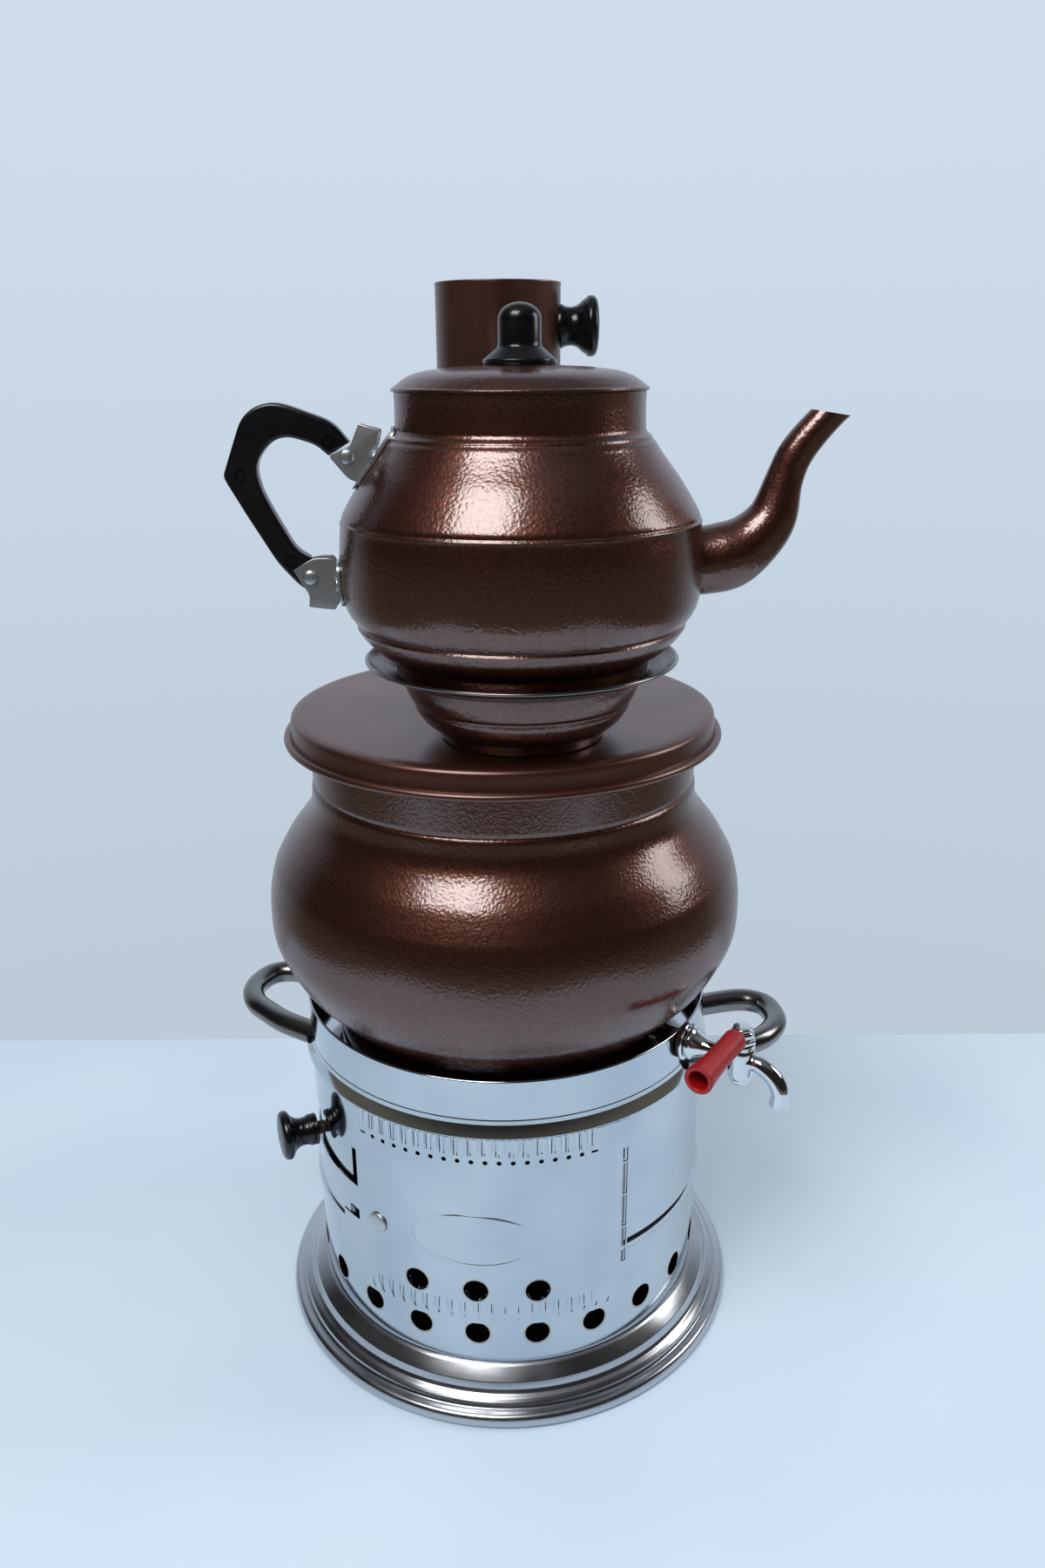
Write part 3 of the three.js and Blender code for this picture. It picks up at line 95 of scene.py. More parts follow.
# %% A node tree, and the one method that adds to it
class Nodes:
    def __init__(self, tree):
        self.tree = tree
        self.tree.nodes.clear()

    def node(self, kind, settings=None, sockets=None, out=0):
        made = self.tree.nodes.new(kind)
        for key, setting in (settings or {}).items():
            setattr(made, key, setting)
        for key, value in (sockets or {}).items():
            if isinstance(value, Wire):
                self.tree.links.new(value.socket, made.inputs[key])
            else:
                made.inputs[key].default_value = value
        return Wire(self, made.outputs[out])

    def place(self):
        return self.node("ShaderNodeTexCoord", out="Object")

    def noise(self, place, size_mm, detail=2.0, out=0):
        sockets = {"Vector": place, "Scale": 1000 / size_mm, "Detail": detail}
        return self.node("ShaderNodeTexNoise", None, sockets, out)

    def stretched(self, place, factors):
        return self.node("ShaderNodeVectorMath", {"operation": "MULTIPLY"}, {0: place, 1: factors})

    def spread(self, value, low, high, to_low=0.0, to_high=1.0):
        return self.node("ShaderNodeMapRange", None, {0: value, 1: low, 2: high, 3: to_low, 4: to_high})

    def mixed(self, factor, first, second):
        sockets = {0: factor, 6: first, 7: second}
        return self.node("ShaderNodeMix", {"data_type": "RGBA"}, sockets, out=2)

    def bump(self, height, depth_mm, strength=1.0):
        sockets = {"Height": height, "Distance": depth_mm / 1000, "Strength": strength}
        return self.node("ShaderNodeBump", None, sockets)


def tint(red, green, blue):
    """A colour as it is seen on the object, 0 to 255, made linear for the shader."""
    shares = [value / 255 for value in (red, green, blue)]
    return (*[s / 12.92 if s <= 0.04045 else ((s + 0.055) / 1.055) ** 2.4 for s in shares], 1.0)


class Finish(Nodes):
    """One surface finish: a material, and the name of its slot in the record."""

    def __init__(self, name, slot):
        self.material = bpy.data.materials.new(name)
        self.material.use_nodes = True
        self.slot = slot
        super().__init__(self.material.node_tree)

    def layer(self, **sockets):
        named = {key.replace("_", " "): value for key, value in sockets.items()}
        return self.node("ShaderNodeBsdfPrincipled", None, named)

    def covered(self, share, under, over):
        return self.node("ShaderNodeMixShader", None, {0: share, 1: under, 2: over})

    def finished(self, shader):
        end = self.tree.nodes.new("ShaderNodeOutputMaterial")
        self.tree.links.new(shader.socket, end.inputs["Surface"])
        return self

    def surface(self, **sockets):
        return self.finished(self.layer(**sockets))


# %% [markdown]
# ## Hammertone paint
# The pot, the dish and the teapot are painted with hammer finish: copper flakes float in a dark clear
# lacquer, and the wet film pulls itself into dimples of about 1.5 mm. Two layers are mixed: flakes, which
# tint what they reflect, and lacquer, which gives white highlights. Both share one shallow dimpled bump,
# so the highlights break up into bright grains.

# %% Hammertone paint
def hammertone_paint():
    paint = Finish("hammertone_brown", "hammertone")
    place = paint.place()
    drift = paint.noise(place, 2.4, 1.0, "Color")
    shift = paint.node("ShaderNodeVectorMath", {"operation": "SCALE"}, {0: drift, "Scale": 0.0012})
    wandering = paint.node("ShaderNodeVectorMath", None, {0: place, 1: shift})
    cell = {"Vector": wandering, "Scale": 640.0, "Smoothness": 0.8}
    dimple = paint.node("ShaderNodeTexVoronoi", {"feature": "SMOOTH_F1"}, cell)
    flow = paint.noise(place, 1.2, 1.5)
    clouds = paint.noise(place, 60.0, 2.0)
    peel = paint.bump(dimple * 0.6 + flow * 0.55, 0.14)
    depth = paint.spread(dimple * 0.6 + flow * 0.6, 0.35, 0.85)
    copper = paint.mixed(depth, tint(166, 98, 76), tint(112, 62, 48))
    flakes = paint.layer(Base_Color=copper, Metallic=1.0, Roughness=0.4, Normal=peel)
    brown = paint.mixed(paint.spread(clouds, 0.3, 0.7), tint(25, 12, 9), tint(17, 9, 7))
    rough = paint.spread(flow, 0.3, 0.7, 0.13, 0.22)
    lacquer = paint.layer(Base_Color=brown, IOR=1.95, Roughness=rough, Normal=peel)
    return paint.finished(paint.covered(0.28, lacquer, flakes))


hammertone = hammertone_paint()
print("finish:", hammertone.material.name)

# %% [markdown]
# ## Satin copper paint
# The lid, the flue and the chimney pipe have the same brown without the dimples. Its flakes lie flatter
# under a half matt lacquer, with a fine grain and faint cloudy marks from handling.

# %% Satin copper paint
def satin_paint():
    paint = Finish("satin_copper_brown", "satin_copper_paint")
    place = paint.place()
    grain = paint.bump(paint.noise(place, 0.7, 2.0), 0.01)
    clouds = paint.noise(place, 45.0, 3.0)
    worn = paint.spread(clouds, 0.3, 0.7)
    copper = paint.mixed(worn, tint(150, 86, 62), tint(128, 72, 54))
    flakes = paint.layer(Base_Color=copper, Metallic=1.0, Roughness=0.42, Normal=grain)
    brown = paint.mixed(worn, tint(44, 22, 17), tint(34, 18, 14))
    rough = paint.spread(clouds, 0.3, 0.7, 0.26, 0.32)
    lacquer = paint.layer(Base_Color=brown, IOR=1.9, Roughness=rough, Normal=grain)
    return paint.finished(paint.covered(0.34, lacquer, flakes))


satin = satin_paint()
print("finish:", satin.material.name)

# %% [markdown]
# ## Metals
# The fire base and the collar are chromed sheet, a mirror with a faint haze and fine wiping marks. The
# base ring is spun steel: the tool leaves rings, so its bump follows the distance from the middle. The tap
# is brighter chrome, the side handles are nickelled tube and the brackets are dull pressed aluminium.

# %% One recipe for the metals
def metal(name, slot, colour, darker, roughness, depth_mm=0.004, stretch=(1, 1, 1)):
    sheet_metal = Finish(name, slot)
    place = sheet_metal.place()
    grain = sheet_metal.noise(sheet_metal.stretched(place, stretch), 0.5, 2.0)
    haze = sheet_metal.noise(place, 38.0, 3.0)
    wear = sheet_metal.spread(haze, 0.35, 0.7)
    shade = sheet_metal.mixed(wear, colour, darker)
    rough = sheet_metal.spread(haze + grain * 0.2, 0.35, 0.8, roughness, roughness * 1.5)
    return sheet_metal.surface(
        Base_Color=shade, Metallic=1.0, Roughness=rough, Normal=sheet_metal.bump(grain, depth_mm)
    )


SHEET, BRACKET = "chrome_sheet", "aluminium_bracket"
WIPED_UPRIGHT = (1, 1, 0.15)
chrome = metal("chromed_sheet", SHEET, tint(200, 208, 214), tint(188, 198, 207), 0.07, stretch=WIPED_UPRIGHT)
tap_chrome = metal("tap_chrome_bright", "tap_chrome", tint(226, 229, 232), tint(212, 215, 219), 0.06)
nickel = metal("nickelled_tube", "brushed_steel", tint(138, 138, 136), tint(116, 115, 111), 0.18)
bare_edge = metal("bare_pressed_edge", SHEET, tint(204, 200, 190), tint(182, 176, 164), 0.2)
aluminium = metal("pressed_aluminium", BRACKET, tint(190, 193, 196), tint(165, 170, 174), 0.34, 0.02)
matt_rivet = metal("matt_rivet", SHEET, tint(214, 216, 218), tint(196, 199, 203), 0.36, 0.015)
bare_inside = metal("bare_aluminium_inside", BRACKET, tint(196, 196, 194), tint(170, 168, 164), 0.38)


# %% Spun steel with rings about the middle
def spun_steel():
    steel = Finish("spun_steel", "brushed_steel")
    place = steel.place()
    flat = steel.stretched(place, (1, 1, 0))
    radius = steel.node("ShaderNodeVectorMath", {"operation": "LENGTH"}, {0: flat}, "Value")
    high = steel.node("ShaderNodeSeparateXYZ", None, {0: place}, "Z")
    along = {"W": radius + high * 0.7, "Scale": 2600.0, "Detail": 2.0}
    rings = steel.node("ShaderNodeTexNoise", {"noise_dimensions": "1D"}, along)
    haze = steel.noise(place, 30.0, 2.0)
    shade = steel.mixed(rings, tint(204, 207, 211), tint(172, 175, 180))
    rough = steel.spread(haze + rings * 0.3, 0.4, 0.9, 0.17, 0.28)
    return steel.surface(Base_Color=shade, Metallic=1.0, Roughness=rough, Normal=steel.bump(rings, 0.01))


spun = spun_steel()
print("metals:", [m.material.name for m in (chrome, tap_chrome, nickel, aluminium, spun)])

# %% [markdown]
# ## Plastic, rubber and iron
# The knobs and the teapot's handle are black pressed bakelite with a hard gloss. The tap's grip is red
# plastic. Seals are dark rubber. The grate and the screws are blackened iron. A dark soot finish covers
# what faces the fire, and it is also painted shade in the deep gaps inside the shell and the collar.
# Each gets some change of gloss and a fine skin, because no real surface is even.

# %% Recipe for the plain moulded and sooty surfaces
def moulded(name, slot, colour, worn, roughness, skin_mm=1.2, depth_mm=0.01, metallic=0.0):
    mass = Finish(name, slot)
    place = mass.place()
    skin = mass.noise(place, skin_mm, 3.0)
    patches = mass.noise(place, 14.0, 2.0)
    shade = mass.mixed(mass.spread(patches, 0.4, 0.75), colour, worn)
    rough = mass.spread(patches, 0.3, 0.7, roughness, roughness * 1.35)
    skin = mass.bump(skin, depth_mm)
    return mass.surface(Base_Color=shade, Metallic=metallic, Roughness=rough, Normal=skin)


bakelite = moulded("black_bakelite", "bakelite", tint(9, 10, 12), tint(15, 16, 19), 0.2)
red_plastic = moulded("red_grip_plastic", "red_plastic", tint(160, 11, 16), tint(142, 9, 14), 0.36, 1.2, 0.02)
rubber = moulded("seal_rubber_dark", "seal_rubber", tint(70, 42, 34), tint(52, 34, 30), 0.7, 1.2, 0.03)
iron = moulded("black_iron", "black_iron", tint(46, 43, 41), tint(62, 52, 46), 0.5, 2.0, 0.05, 0.7)
# Soot where the fire reaches, and painted shade: the same dark finish blackens the gaps inside the shell and
# the collar.
soot_and_shade = moulded("soot_and_painted_shade_inside", SHEET, tint(38, 36, 35), tint(24, 22, 21), 0.75, 2.5, 0.05, 0.2)
print("others:", [m.material.name for m in (bakelite, red_plastic, rubber, iron, soot_and_shade)])

# %% [markdown]
# ## Outlines
# Every round piece starts as an outline of radius and height in millimetres. Real pressed sheet has no
# sharp corners, so `rounded` replaces a corner by a short curve, `flowing` draws a smooth curve through
# points, and `sheet_wall` gives a face its thickness by a second face beside it. `bead` and `arc` draw
# rolled beads, rims and domed heads.

# %% Rounded corners, flowing curves and sheet thickness
def rounded(points, steps=5):
    """Points are (r, z) or (r, z, rounding). The ends stay as they are."""
    line = []
    for i, point in enumerate(points):
        rounding = point[2] if len(point) > 2 else 0
        here = Vector(point[:2])
        if not rounding or i in (0, len(points) - 1):
            line.append(here)
            continue
        back, ahead = Vector(points[i - 1][:2]) - here, Vector(points[i + 1][:2]) - here
        start = here + back.normalized() * min(rounding, back.length * 0.49)
        end = here + ahead.normalized() * min(rounding, ahead.length * 0.49)
        for k in range(steps + 1):
            t = k / steps
            line.append(start * (1 - t) ** 2 + here * 2 * t * (1 - t) + end * t * t)
    return [tuple(p) for p in line]


def flowing(points, steps=5):
    """A smooth curve through points of any dimension (Catmull-Rom)."""
    spots = [Vector(p) for p in points]
    ends = [spots[0] * 2 - spots[1], *spots, spots[-1] * 2 - spots[-2]]
    line = []
    for a, b, c, d in zip(ends, ends[1:], ends[2:], ends[3:]):
        for k in range(steps):
            t = k / steps
            bend, twist = a * 2 - b * 5 + c * 4 - d, b * 3 - a - c * 3 + d
            line.append((b * 2 + (c - a) * t + bend * t**2 + twist * t**3) / 2)
    return [tuple(p) for p in (*line, spots[-1])]


def sheet_wall(outer, thickness):
    """Closes the outline of a sheet, given its outer face from the bottom up, and counts the outer points."""
    spots = [Vector(p) for p in outer]
    inner = []
    for i, here in enumerate(spots):
        way = (spots[min(i + 1, len(spots) - 1)] - spots[max(i - 1, 0)]).normalized()
        moved = here + Vector((-way.y, way.x)) * thickness
        inner.append((max(moved.x, 0.0) if here.x > 0 else 0.0, moved.y))
    return [*outer, *reversed(inner)], len(outer)


def bead(radius, low, high, depth, steps=8):
    """A rolled bead: half a wave that stands out from a straight wall."""
    shares = [k / steps for k in range(steps + 1)]
    return [(radius + depth * math.sin(math.pi * share), low + (high - low) * share) for share in shares]


def arc(r, z, wide, high, start, end, steps):
    """Points on part of an ellipse about (r, z), from one angle in degrees to another."""
    turn = [math.radians(start + (end - start) * k / steps) for k in range(steps + 1)]
    return [(r + wide * math.cos(a), z + high * math.sin(a)) for a in turn]


# %% [markdown]
# ## From outlines to meshes
# `revolve` turns an outline about the Z axis and keeps the inner faces apart, so that they can take their
# own finish. `sweep` carries a circle along a curve for tubes, and `plate` cuts a flat sheet. `add_piece`
# makes the object, rounds its shading except at real edges, lets it ride on its body and hides the CAD
# node that it stands for.

# %% Revolving an outline
def revolve(outline, sides=128, split=None, into=None):
    """A closed outline about the Z axis. Faces from outline point `split` on are the inner ones."""
    bm = into or bmesh.new()
    later = [p for p, last in zip(outline[1:], outline) if (Vector(p) - Vector(last)).length > 0.002]
    line = [outline[0], *later]
    dropped = len(outline) - len(line)
    rings = []
    for r, z in line:
        if r < 0.001:
            rings.append([bm.verts.new((0, 0, z))] * sides)
            continue
        turn = [2 * math.pi * k / sides for k in range(sides)]
        rings.append([bm.verts.new((r * math.cos(a), r * math.sin(a), z)) for a in turn])
    for i, (low, high) in enumerate(zip(rings, rings[1:] + rings[:1])):
        for k in range(sides):
            after = (k + 1) % sides
            corners = list(dict.fromkeys((low[k], low[after], high[after], high[k])))
            if len(corners) > 2:
                face = bm.faces.new(corners)
                face.material_index = int(split is not None and i >= split - dropped)
    return bm


# %% Sweeping a tube along a curve
def sweep(path, radii, sides=24, bore=0.0, up=Vector((0, 1, 0)), into=None):
    """A round tube along points. With a bore it is hollow and open at both ends."""
    bm = into or bmesh.new()
    spots = [Vector(p) for p in path]
    radii = radii if isinstance(radii, (list, tuple)) else [radii] * len(spots)
    skins = []
    for inset in ([0.0, bore] if bore else [0.0]):
        rings = []
        for i, (here, radius) in enumerate(zip(spots, radii)):
            way = (spots[min(i + 1, len(spots) - 1)] - spots[max(i - 1, 0)]).normalized()
            side = way.cross(up).normalized()
            over = side.cross(way)
            turn = [2 * math.pi * k / sides for k in range(sides)]
            reach = radius - inset
            around = [side * math.cos(a) + over * math.sin(a) for a in turn]
            rings.append([bm.verts.new(here + out * reach) for out in around])
        for low, high in zip(rings, rings[1:]):
            for k in range(sides):
                after = (k + 1) % sides
                bm.faces.new((low[k], low[after], high[after], high[k]))
        skins.append(rings)
    if bore:
        for end in (0, -1):
            for k in range(sides):
                after = (k + 1) % sides
                bm.faces.new((skins[0][end][k], skins[0][end][after], skins[1][end][after], skins[1][end][k]))
    else:
        bm.faces.new(skins[0][0])
        bm.faces.new(skins[0][-1])
    return bm


# %% A flat plate with eased edges
def plate(points, thickness, easing):
    """An outline in the X-Z plane, as thick as given about the middle, with its edges eased."""
    bm = bmesh.new()
    face = bm.faces.new([bm.verts.new((x, -thickness / 2, z)) for x, z in points])
    grown = bmesh.ops.extrude_face_region(bm, geom=[face])
    far = [v for v in grown["geom"] if isinstance(v, bmesh.types.BMVert)]
    bmesh.ops.translate(bm, verts=far, vec=(0, thickness, 0))
    bmesh.ops.recalc_face_normals(bm, faces=bm.faces)
    rims = [e for e in bm.edges if abs(e.verts[0].co.y - e.verts[1].co.y) < 0.001]
    bmesh.ops.bevel(bm, geom=rims, offset=easing, segments=3, affect="EDGES", profile=0.5)
    return bm


# %% Placing a shape, and joining one to another
ABOUT_X = Matrix.Rotation(math.radians(90), 4, "Y")
ABOUT_Y = Matrix.Rotation(math.radians(90), 4, "X")


def facing(azimuth, height):
    """Lays a shape that stands on Z along a radius: azimuth 0 is the front and 90 the right."""
    turn = Matrix.Rotation(math.radians(azimuth - 90), 4, "Z")
    return Matrix.Translation((0, 0, height)) @ turn @ ABOUT_X


def placed(bm, matrix):
    bmesh.ops.transform(bm, matrix=matrix, verts=bm.verts)
    return bm


def joined_to(whole, part):
    """Adds the part's faces to the whole and frees the part."""
    mesh = bpy.data.meshes.new("part")
    part.to_mesh(mesh)
    part.free()
    whole.from_mesh(mesh)
    bpy.data.meshes.remove(mesh)
    return whole


# %% Making the object and handing it to its body
EDGE_ANGLE = 34


def sharpen(bm, edge_angle):
    """Smooth shading everywhere but over edges that turn by more than the angle."""
    for edge in bm.edges:
        edge.smooth = edge.calc_face_angle(0) < math.radians(edge_angle)


def new_object(bm, name, moved=Matrix.Identity(4), edge_angle=EDGE_ANGLE):
    """Makes an object in metres from a shape in millimetres."""
    placed(bm, Matrix.Scale(0.001, 4) @ moved)
    bmesh.ops.recalc_face_normals(bm, faces=bm.faces)
    for face in bm.faces:
        face.smooth = True
    sharpen(bm, edge_angle)
    mesh = bpy.data.meshes.new(name)
    bm.to_mesh(mesh)
    bm.free()
    made = bpy.data.objects.new(name, mesh)
    bpy.context.scene.collection.objects.link(made)
    return made


def dress(made, body, finishes, *nodes):
    """Gives a finished shape its finishes and its body, and hides the CAD nodes that it stands for."""
    finishes = finishes if isinstance(finishes, tuple) else (finishes,)
    for finish in finishes:
        made.data.materials.append(finish.material)
    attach(made, body)
    if nodes:
        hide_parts(*nodes)
    print(f"{made.name}: {len(made.data.polygons)} faces on {body}")
    return made


def add_piece(bm, name, body, finishes, *nodes, moved=Matrix.Identity(4), edge_angle=EDGE_ANGLE):
    return dress(new_object(bm, name, moved, edge_angle), body, finishes, *nodes)


# %% [markdown]
# Holes are punched after a sheet is formed, as in the factory. A Boolean modifier cuts them, its result
# replaces the mesh, and the new edges are marked sharp again. On a mirror finish the new corners would
# still show as dents, so the shading of a straight round wall is set from the true direction of its radius.

# %% Punching holes, and the true shading of a round wall
def punch(made, cutter_bm, edge_angle=EDGE_ANGLE):
    cutter = new_object(cutter_bm, "cutter")
    change = made.modifiers.new("holes", "BOOLEAN")
    change.operation, change.solver, change.object = "DIFFERENCE", "EXACT", cutter
    bpy.context.view_layer.update()
    mesh = bpy.data.meshes.new_from_object(made.evaluated_get(bpy.context.evaluated_depsgraph_get()))
    made.modifiers.clear()
    made.data = mesh
    bpy.data.objects.remove(cutter)
    bm = bmesh.new()
    bm.from_mesh(mesh)
    sharpen(bm, edge_angle)
    bm.to_mesh(mesh)
    bm.free()
    return made


def true_round(made):
    """Sets the shading of faces that stand upright about the Z axis from their radius."""
    mesh = made.data
    normals = [Vector((0, 0, 0)) for _ in mesh.loops]
    for face in mesh.polygons:
        lean = face.normal.dot(Vector((face.center.x, face.center.y, 0)).normalized())
        if abs(lean) > 0.995:
            for i in face.loop_indices:
                spot = mesh.vertices[mesh.loops[i].vertex_index].co
                normals[i] = Vector((spot.x, spot.y, 0)).normalized() * math.copysign(1, lean)
    mesh.normals_split_custom_set([tuple(n) for n in normals])
    return made


# %% [markdown]
# ## Base ring and ash tray
# The samovar stands on a pressed and spun steel ring: a rolled rim, a shallow groove, and a flare up to
# the shoulder that holds the shell. The rim is a true roll, so it gets its own small circle of points.

# %% Base ring
ring_outer = rounded([
    (125.4, 0), (127.6, 0, 1.4), (129.15, 2.2, 1.6), (129.15, 4.6, 1.6), (128.3, 6.6, 1), (127.0, 7.6, 0.8),
    (125.0, 7.9, 0.5), (123.7, 8.3, 0.4), (122.9, 9.2, 0.4), (122.3, 10.5, 0.3), (120.6, 12.0, 0.4),
    (118.7, 13.0, 0.5), (117.5, 14.5, 0.5), (116.9, 16.4, 0.4), (116.2, 18.2, 0.3), (113.4, 21.0, 1),
    (110.7, 23.6, 0.6), (109.3, 24.4, 0.5), (104, 24.4),
])
outline, split = sheet_wall(ring_outer, 1.2)
add_piece(revolve(outline, 160), "spun_base_ring", "fire_base", spun, "base_ring")

# %% Ash tray and base plate
tray_outer = rounded([(0, 12), (99, 12, 2), (103.4, 16.4, 2), (103.4, 24.7, 0.6), (107.4, 24.7)])
outline, split = sheet_wall(tray_outer, 1)
add_piece(revolve(outline, 96, split), "ash_tray_pressed", "fire_base", (spun, soot_and_shade), "ash_tray")
plate_outline = rounded([(0, 0), (125.0, 0, 0.3), (125.0, 1, 0.3), (0, 1)])
add_piece(revolve(plate_outline, 96), "base_plate_disc", "fire_base", spun, "base_plate")

# %% [markdown]
# ## Fire box shell
# A chromed tube with one bead round it and a row of 22 punched vents near the bottom. Each vent has a
# thin lip that hardly stands up, made as a strip that follows the tube's curve. The air window and all
# that opens in the front panel are cut through the shell too: vents, small holes and the slot's top.

# %% Shell sizes and its outline
SHELL = 109.0
VENT, VENT_HEIGHT, PANEL_VENT_HEIGHT = 6.5, 43.0, 72.0
RIVET_AZIMUTH, RIVET_HEIGHT, RIVET_HOLE = -28.4, 98.0, 2.65
shell_outer = [(SHELL, 24.7), (SHELL, 36), *bead(SHELL, 79.5, 86.9, 1.6), (SHELL, 162.9)]
outline, split = sheet_wall(shell_outer, 1)


# %% Cutters for the vents and the window
def vent_rods(azimuths, height, radius, near, far, sides=40, into=None):
    bm = into or bmesh.new()
    for azimuth in azimuths:
        rod = revolve([(0, near), (radius, near), (radius, far), (0, far)], sides)
        joined_to(bm, placed(rod, facing(azimuth, height)))
    return bm


def curved_block(from_azimuth, to_azimuth, low, high, near, far, step=2.5, into=None):
    """A block bent round the Z axis, which also serves as a curved plate."""
    bm = into or bmesh.new()
    count = max(1, round((to_azimuth - from_azimuth) / step))
    slices = []
    for k in range(count + 1):
        azimuth = math.radians(from_azimuth + (to_azimuth - from_azimuth) * k / count)
        way = Vector((math.sin(azimuth), -math.cos(azimuth), 0))
        rise = Vector((0, 0, 1))
        corners = ((near, low), (far, low), (far, high), (near, high))
        slices.append([bm.verts.new(way * out + rise * height) for out, height in corners])
    for before, after in zip(slices, slices[1:]):
        for k in range(4):
            n = (k + 1) % 4
            bm.faces.new((before[k], before[n], after[n], after[k]))
    bm.faces.new(slices[0])
    bm.faces.new(slices[-1])
    return bm


VENT_COUNT, WINDOW = 22, (-91, -36.0, 110, 133)
INSIDE, BEFORE_PANEL, OUTSIDE = 103, 109.8, 115
vent_pitch = 360 / VENT_COUNT
shell_vents = [(k - 10) * vent_pitch for k in range(VENT_COUNT)]
panel_vents = [-vent_pitch, 0, vent_pitch]
cuts = vent_rods(shell_vents, VENT_HEIGHT, VENT, INSIDE, OUTSIDE)
vent_rods(panel_vents, PANEL_VENT_HEIGHT, VENT, INSIDE, BEFORE_PANEL, into=cuts)
vent_rods([RIVET_AZIMUTH], RIVET_HEIGHT, RIVET_HOLE, INSIDE, OUTSIDE, 16, into=cuts)
curved_block(*WINDOW, INSIDE, OUTSIDE, into=cuts)
print("shell vents:", len(shell_vents), "panel vents:", len(panel_vents))

# %% The row of small holes, the slot's top, and the shell punched
CRIMP, HOLES_FROM, HOLES_HEIGHT, HOLE_COUNT = 3.54, -32.3, 150.0, 19
SMALL_HOLE, SMALL_HOLE_BEHIND, SLOT_TOP_BEHIND = 1.25, 1.6, (40.3, 41.5, 137.4, 146.2)
pin_holes = [HOLES_FROM + CRIMP * k for k in range(HOLE_COUNT)]
vent_rods(pin_holes[1:-1], HOLES_HEIGHT, SMALL_HOLE_BEHIND, INSIDE, BEFORE_PANEL, 12, into=cuts)
curved_block(*SLOT_TOP_BEHIND, INSIDE, BEFORE_PANEL, into=cuts)
shell = punch(new_object(revolve(outline, 160, split), "chromed_fire_shell"), cuts)


# %% Raised lips of the vents, joined to the shell
def vent_lips(azimuths, height, radius, wall, rise=0.14, width=1.0, sunk=0.06, sides=40, across=5):
    """Strips round the vents, bent with the wall and sunk a little into it."""
    bm = bmesh.new()
    for azimuth in azimuths:
        loops = []
        for j in range(across + 1):
            share = j / across
            out = wall + rise * math.sin(math.pi * share) - sunk
            reach = radius - 0.05 + width * share
            loop = []
            for k in range(sides):
                turn = 2 * math.pi * k / sides
                angle = math.radians(azimuth) + reach * math.cos(turn) / wall
                spot = (out * math.sin(angle), -out * math.cos(angle), height + reach * math.sin(turn))
                loop.append(bm.verts.new(spot))
            loops.append(loop)
        for low, high in zip(loops, loops[1:]):
            for k in range(sides):
                after = (k + 1) % sides
                bm.faces.new((low[k], low[after], high[after], high[k]))
    return bm


# The shell's inside takes the dark soot finish: soot from the fire, and painted shade that darkens the vents.
dress(true_round(shell), "fire_base", (chrome, soot_and_shade), "firebox_shell")
add_piece(vent_lips(shell_vents, VENT_HEIGHT, VENT, SHELL), "shell_vent_lips", "fire_base", bare_edge)

# %% [markdown]
# ## Draught shutter and its knob
# Behind the air window a curved plate slides round inside the shell. A spacer, a disc and a turned knob
# stand on it, so the knob can be pushed while the shell is hot.

# %% Shutter, spacer, disc and knob
SHUTTER, SHUTTER_SHEET, SHUTTER_AREA, GAP = 107.18, 0.8, (-94, -40.7, 106, 137), 0.3
KNOB_AZIMUTH, KNOB_HEIGHT, SPACER_LENGTH, DISC_LENGTH = -60, 121.5, 4.2, 2
shutter = curved_block(*SHUTTER_AREA, SHUTTER - SHUTTER_SHEET, SHUTTER, 1.0)
add_piece(shutter, "curved_draught_shutter", "shutter", chrome, "draught_shutter")
at_shutter = facing(KNOB_AZIMUTH, KNOB_HEIGHT)


def turned_disc(radius, foot, length, rounding):
    head = foot + length
    return rounded([(0, foot), (radius, foot, rounding), (radius, head, rounding), (0, head)])


spacer_from = SHUTTER + GAP
spacer = turned_disc(3.6, spacer_from, SPACER_LENGTH, 0.4)
add_piece(revolve(spacer, 32), "shutter_spacer_turned", "shutter", iron, "shutter_spacer", moved=at_shutter)
disc_from = spacer_from + SPACER_LENGTH + GAP
disc = turned_disc(8.5, disc_from, DISC_LENGTH, 0.8)
add_piece(revolve(disc, 48), "shutter_heat_disc", "shutter", bakelite, "shutter_disc", moved=at_shutter)


def spool_knob(foot, length, stem, head):
    """A waisted knob on Z: a foot, a hollow waist and a wide rounded head."""
    stem_shares = [(1.12, 0), (1.13, 0.09), (1.02, 0.2), (0.99, 0.34), (1.08, 0.47), (1.3, 0.59)]
    head_shares = [(0.93, 0.68), (1, 0.74), (1, 0.83), (0.95, 0.9), (0.78, 0.955), (0.4, 0.985), (0, 1)]
    side = [(stem * wide, foot + length * along) for wide, along in stem_shares]
    side += [(head * wide, foot + length * along) for wide, along in head_shares]
    return [(0, foot), *flowing(side, 5)]


knob = spool_knob(disc_from + DISC_LENGTH + GAP, 18.4, 7.4, 13.0)
add_piece(revolve(knob, 64), "shutter_knob_turned", "shutter", bakelite, "shutter_knob", moved=at_shutter)

# %% [markdown]
# ## Front panel
# The panel is a second chromed sheet over the front, and the richest surface of the object. It is a fine
# grid in azimuth and height whose radius is a sum of four pressed forms: upright crimps at the top, an
# oval ridge in the middle, a row of ribs at the bottom and a seam beside the slot. The oval stays empty.
# Rows are close only where the press has worked. Then the vents, the small holes and the slot are
# punched, and fine lines are scored into the crimps and ribs, because the press leaves them sharp.

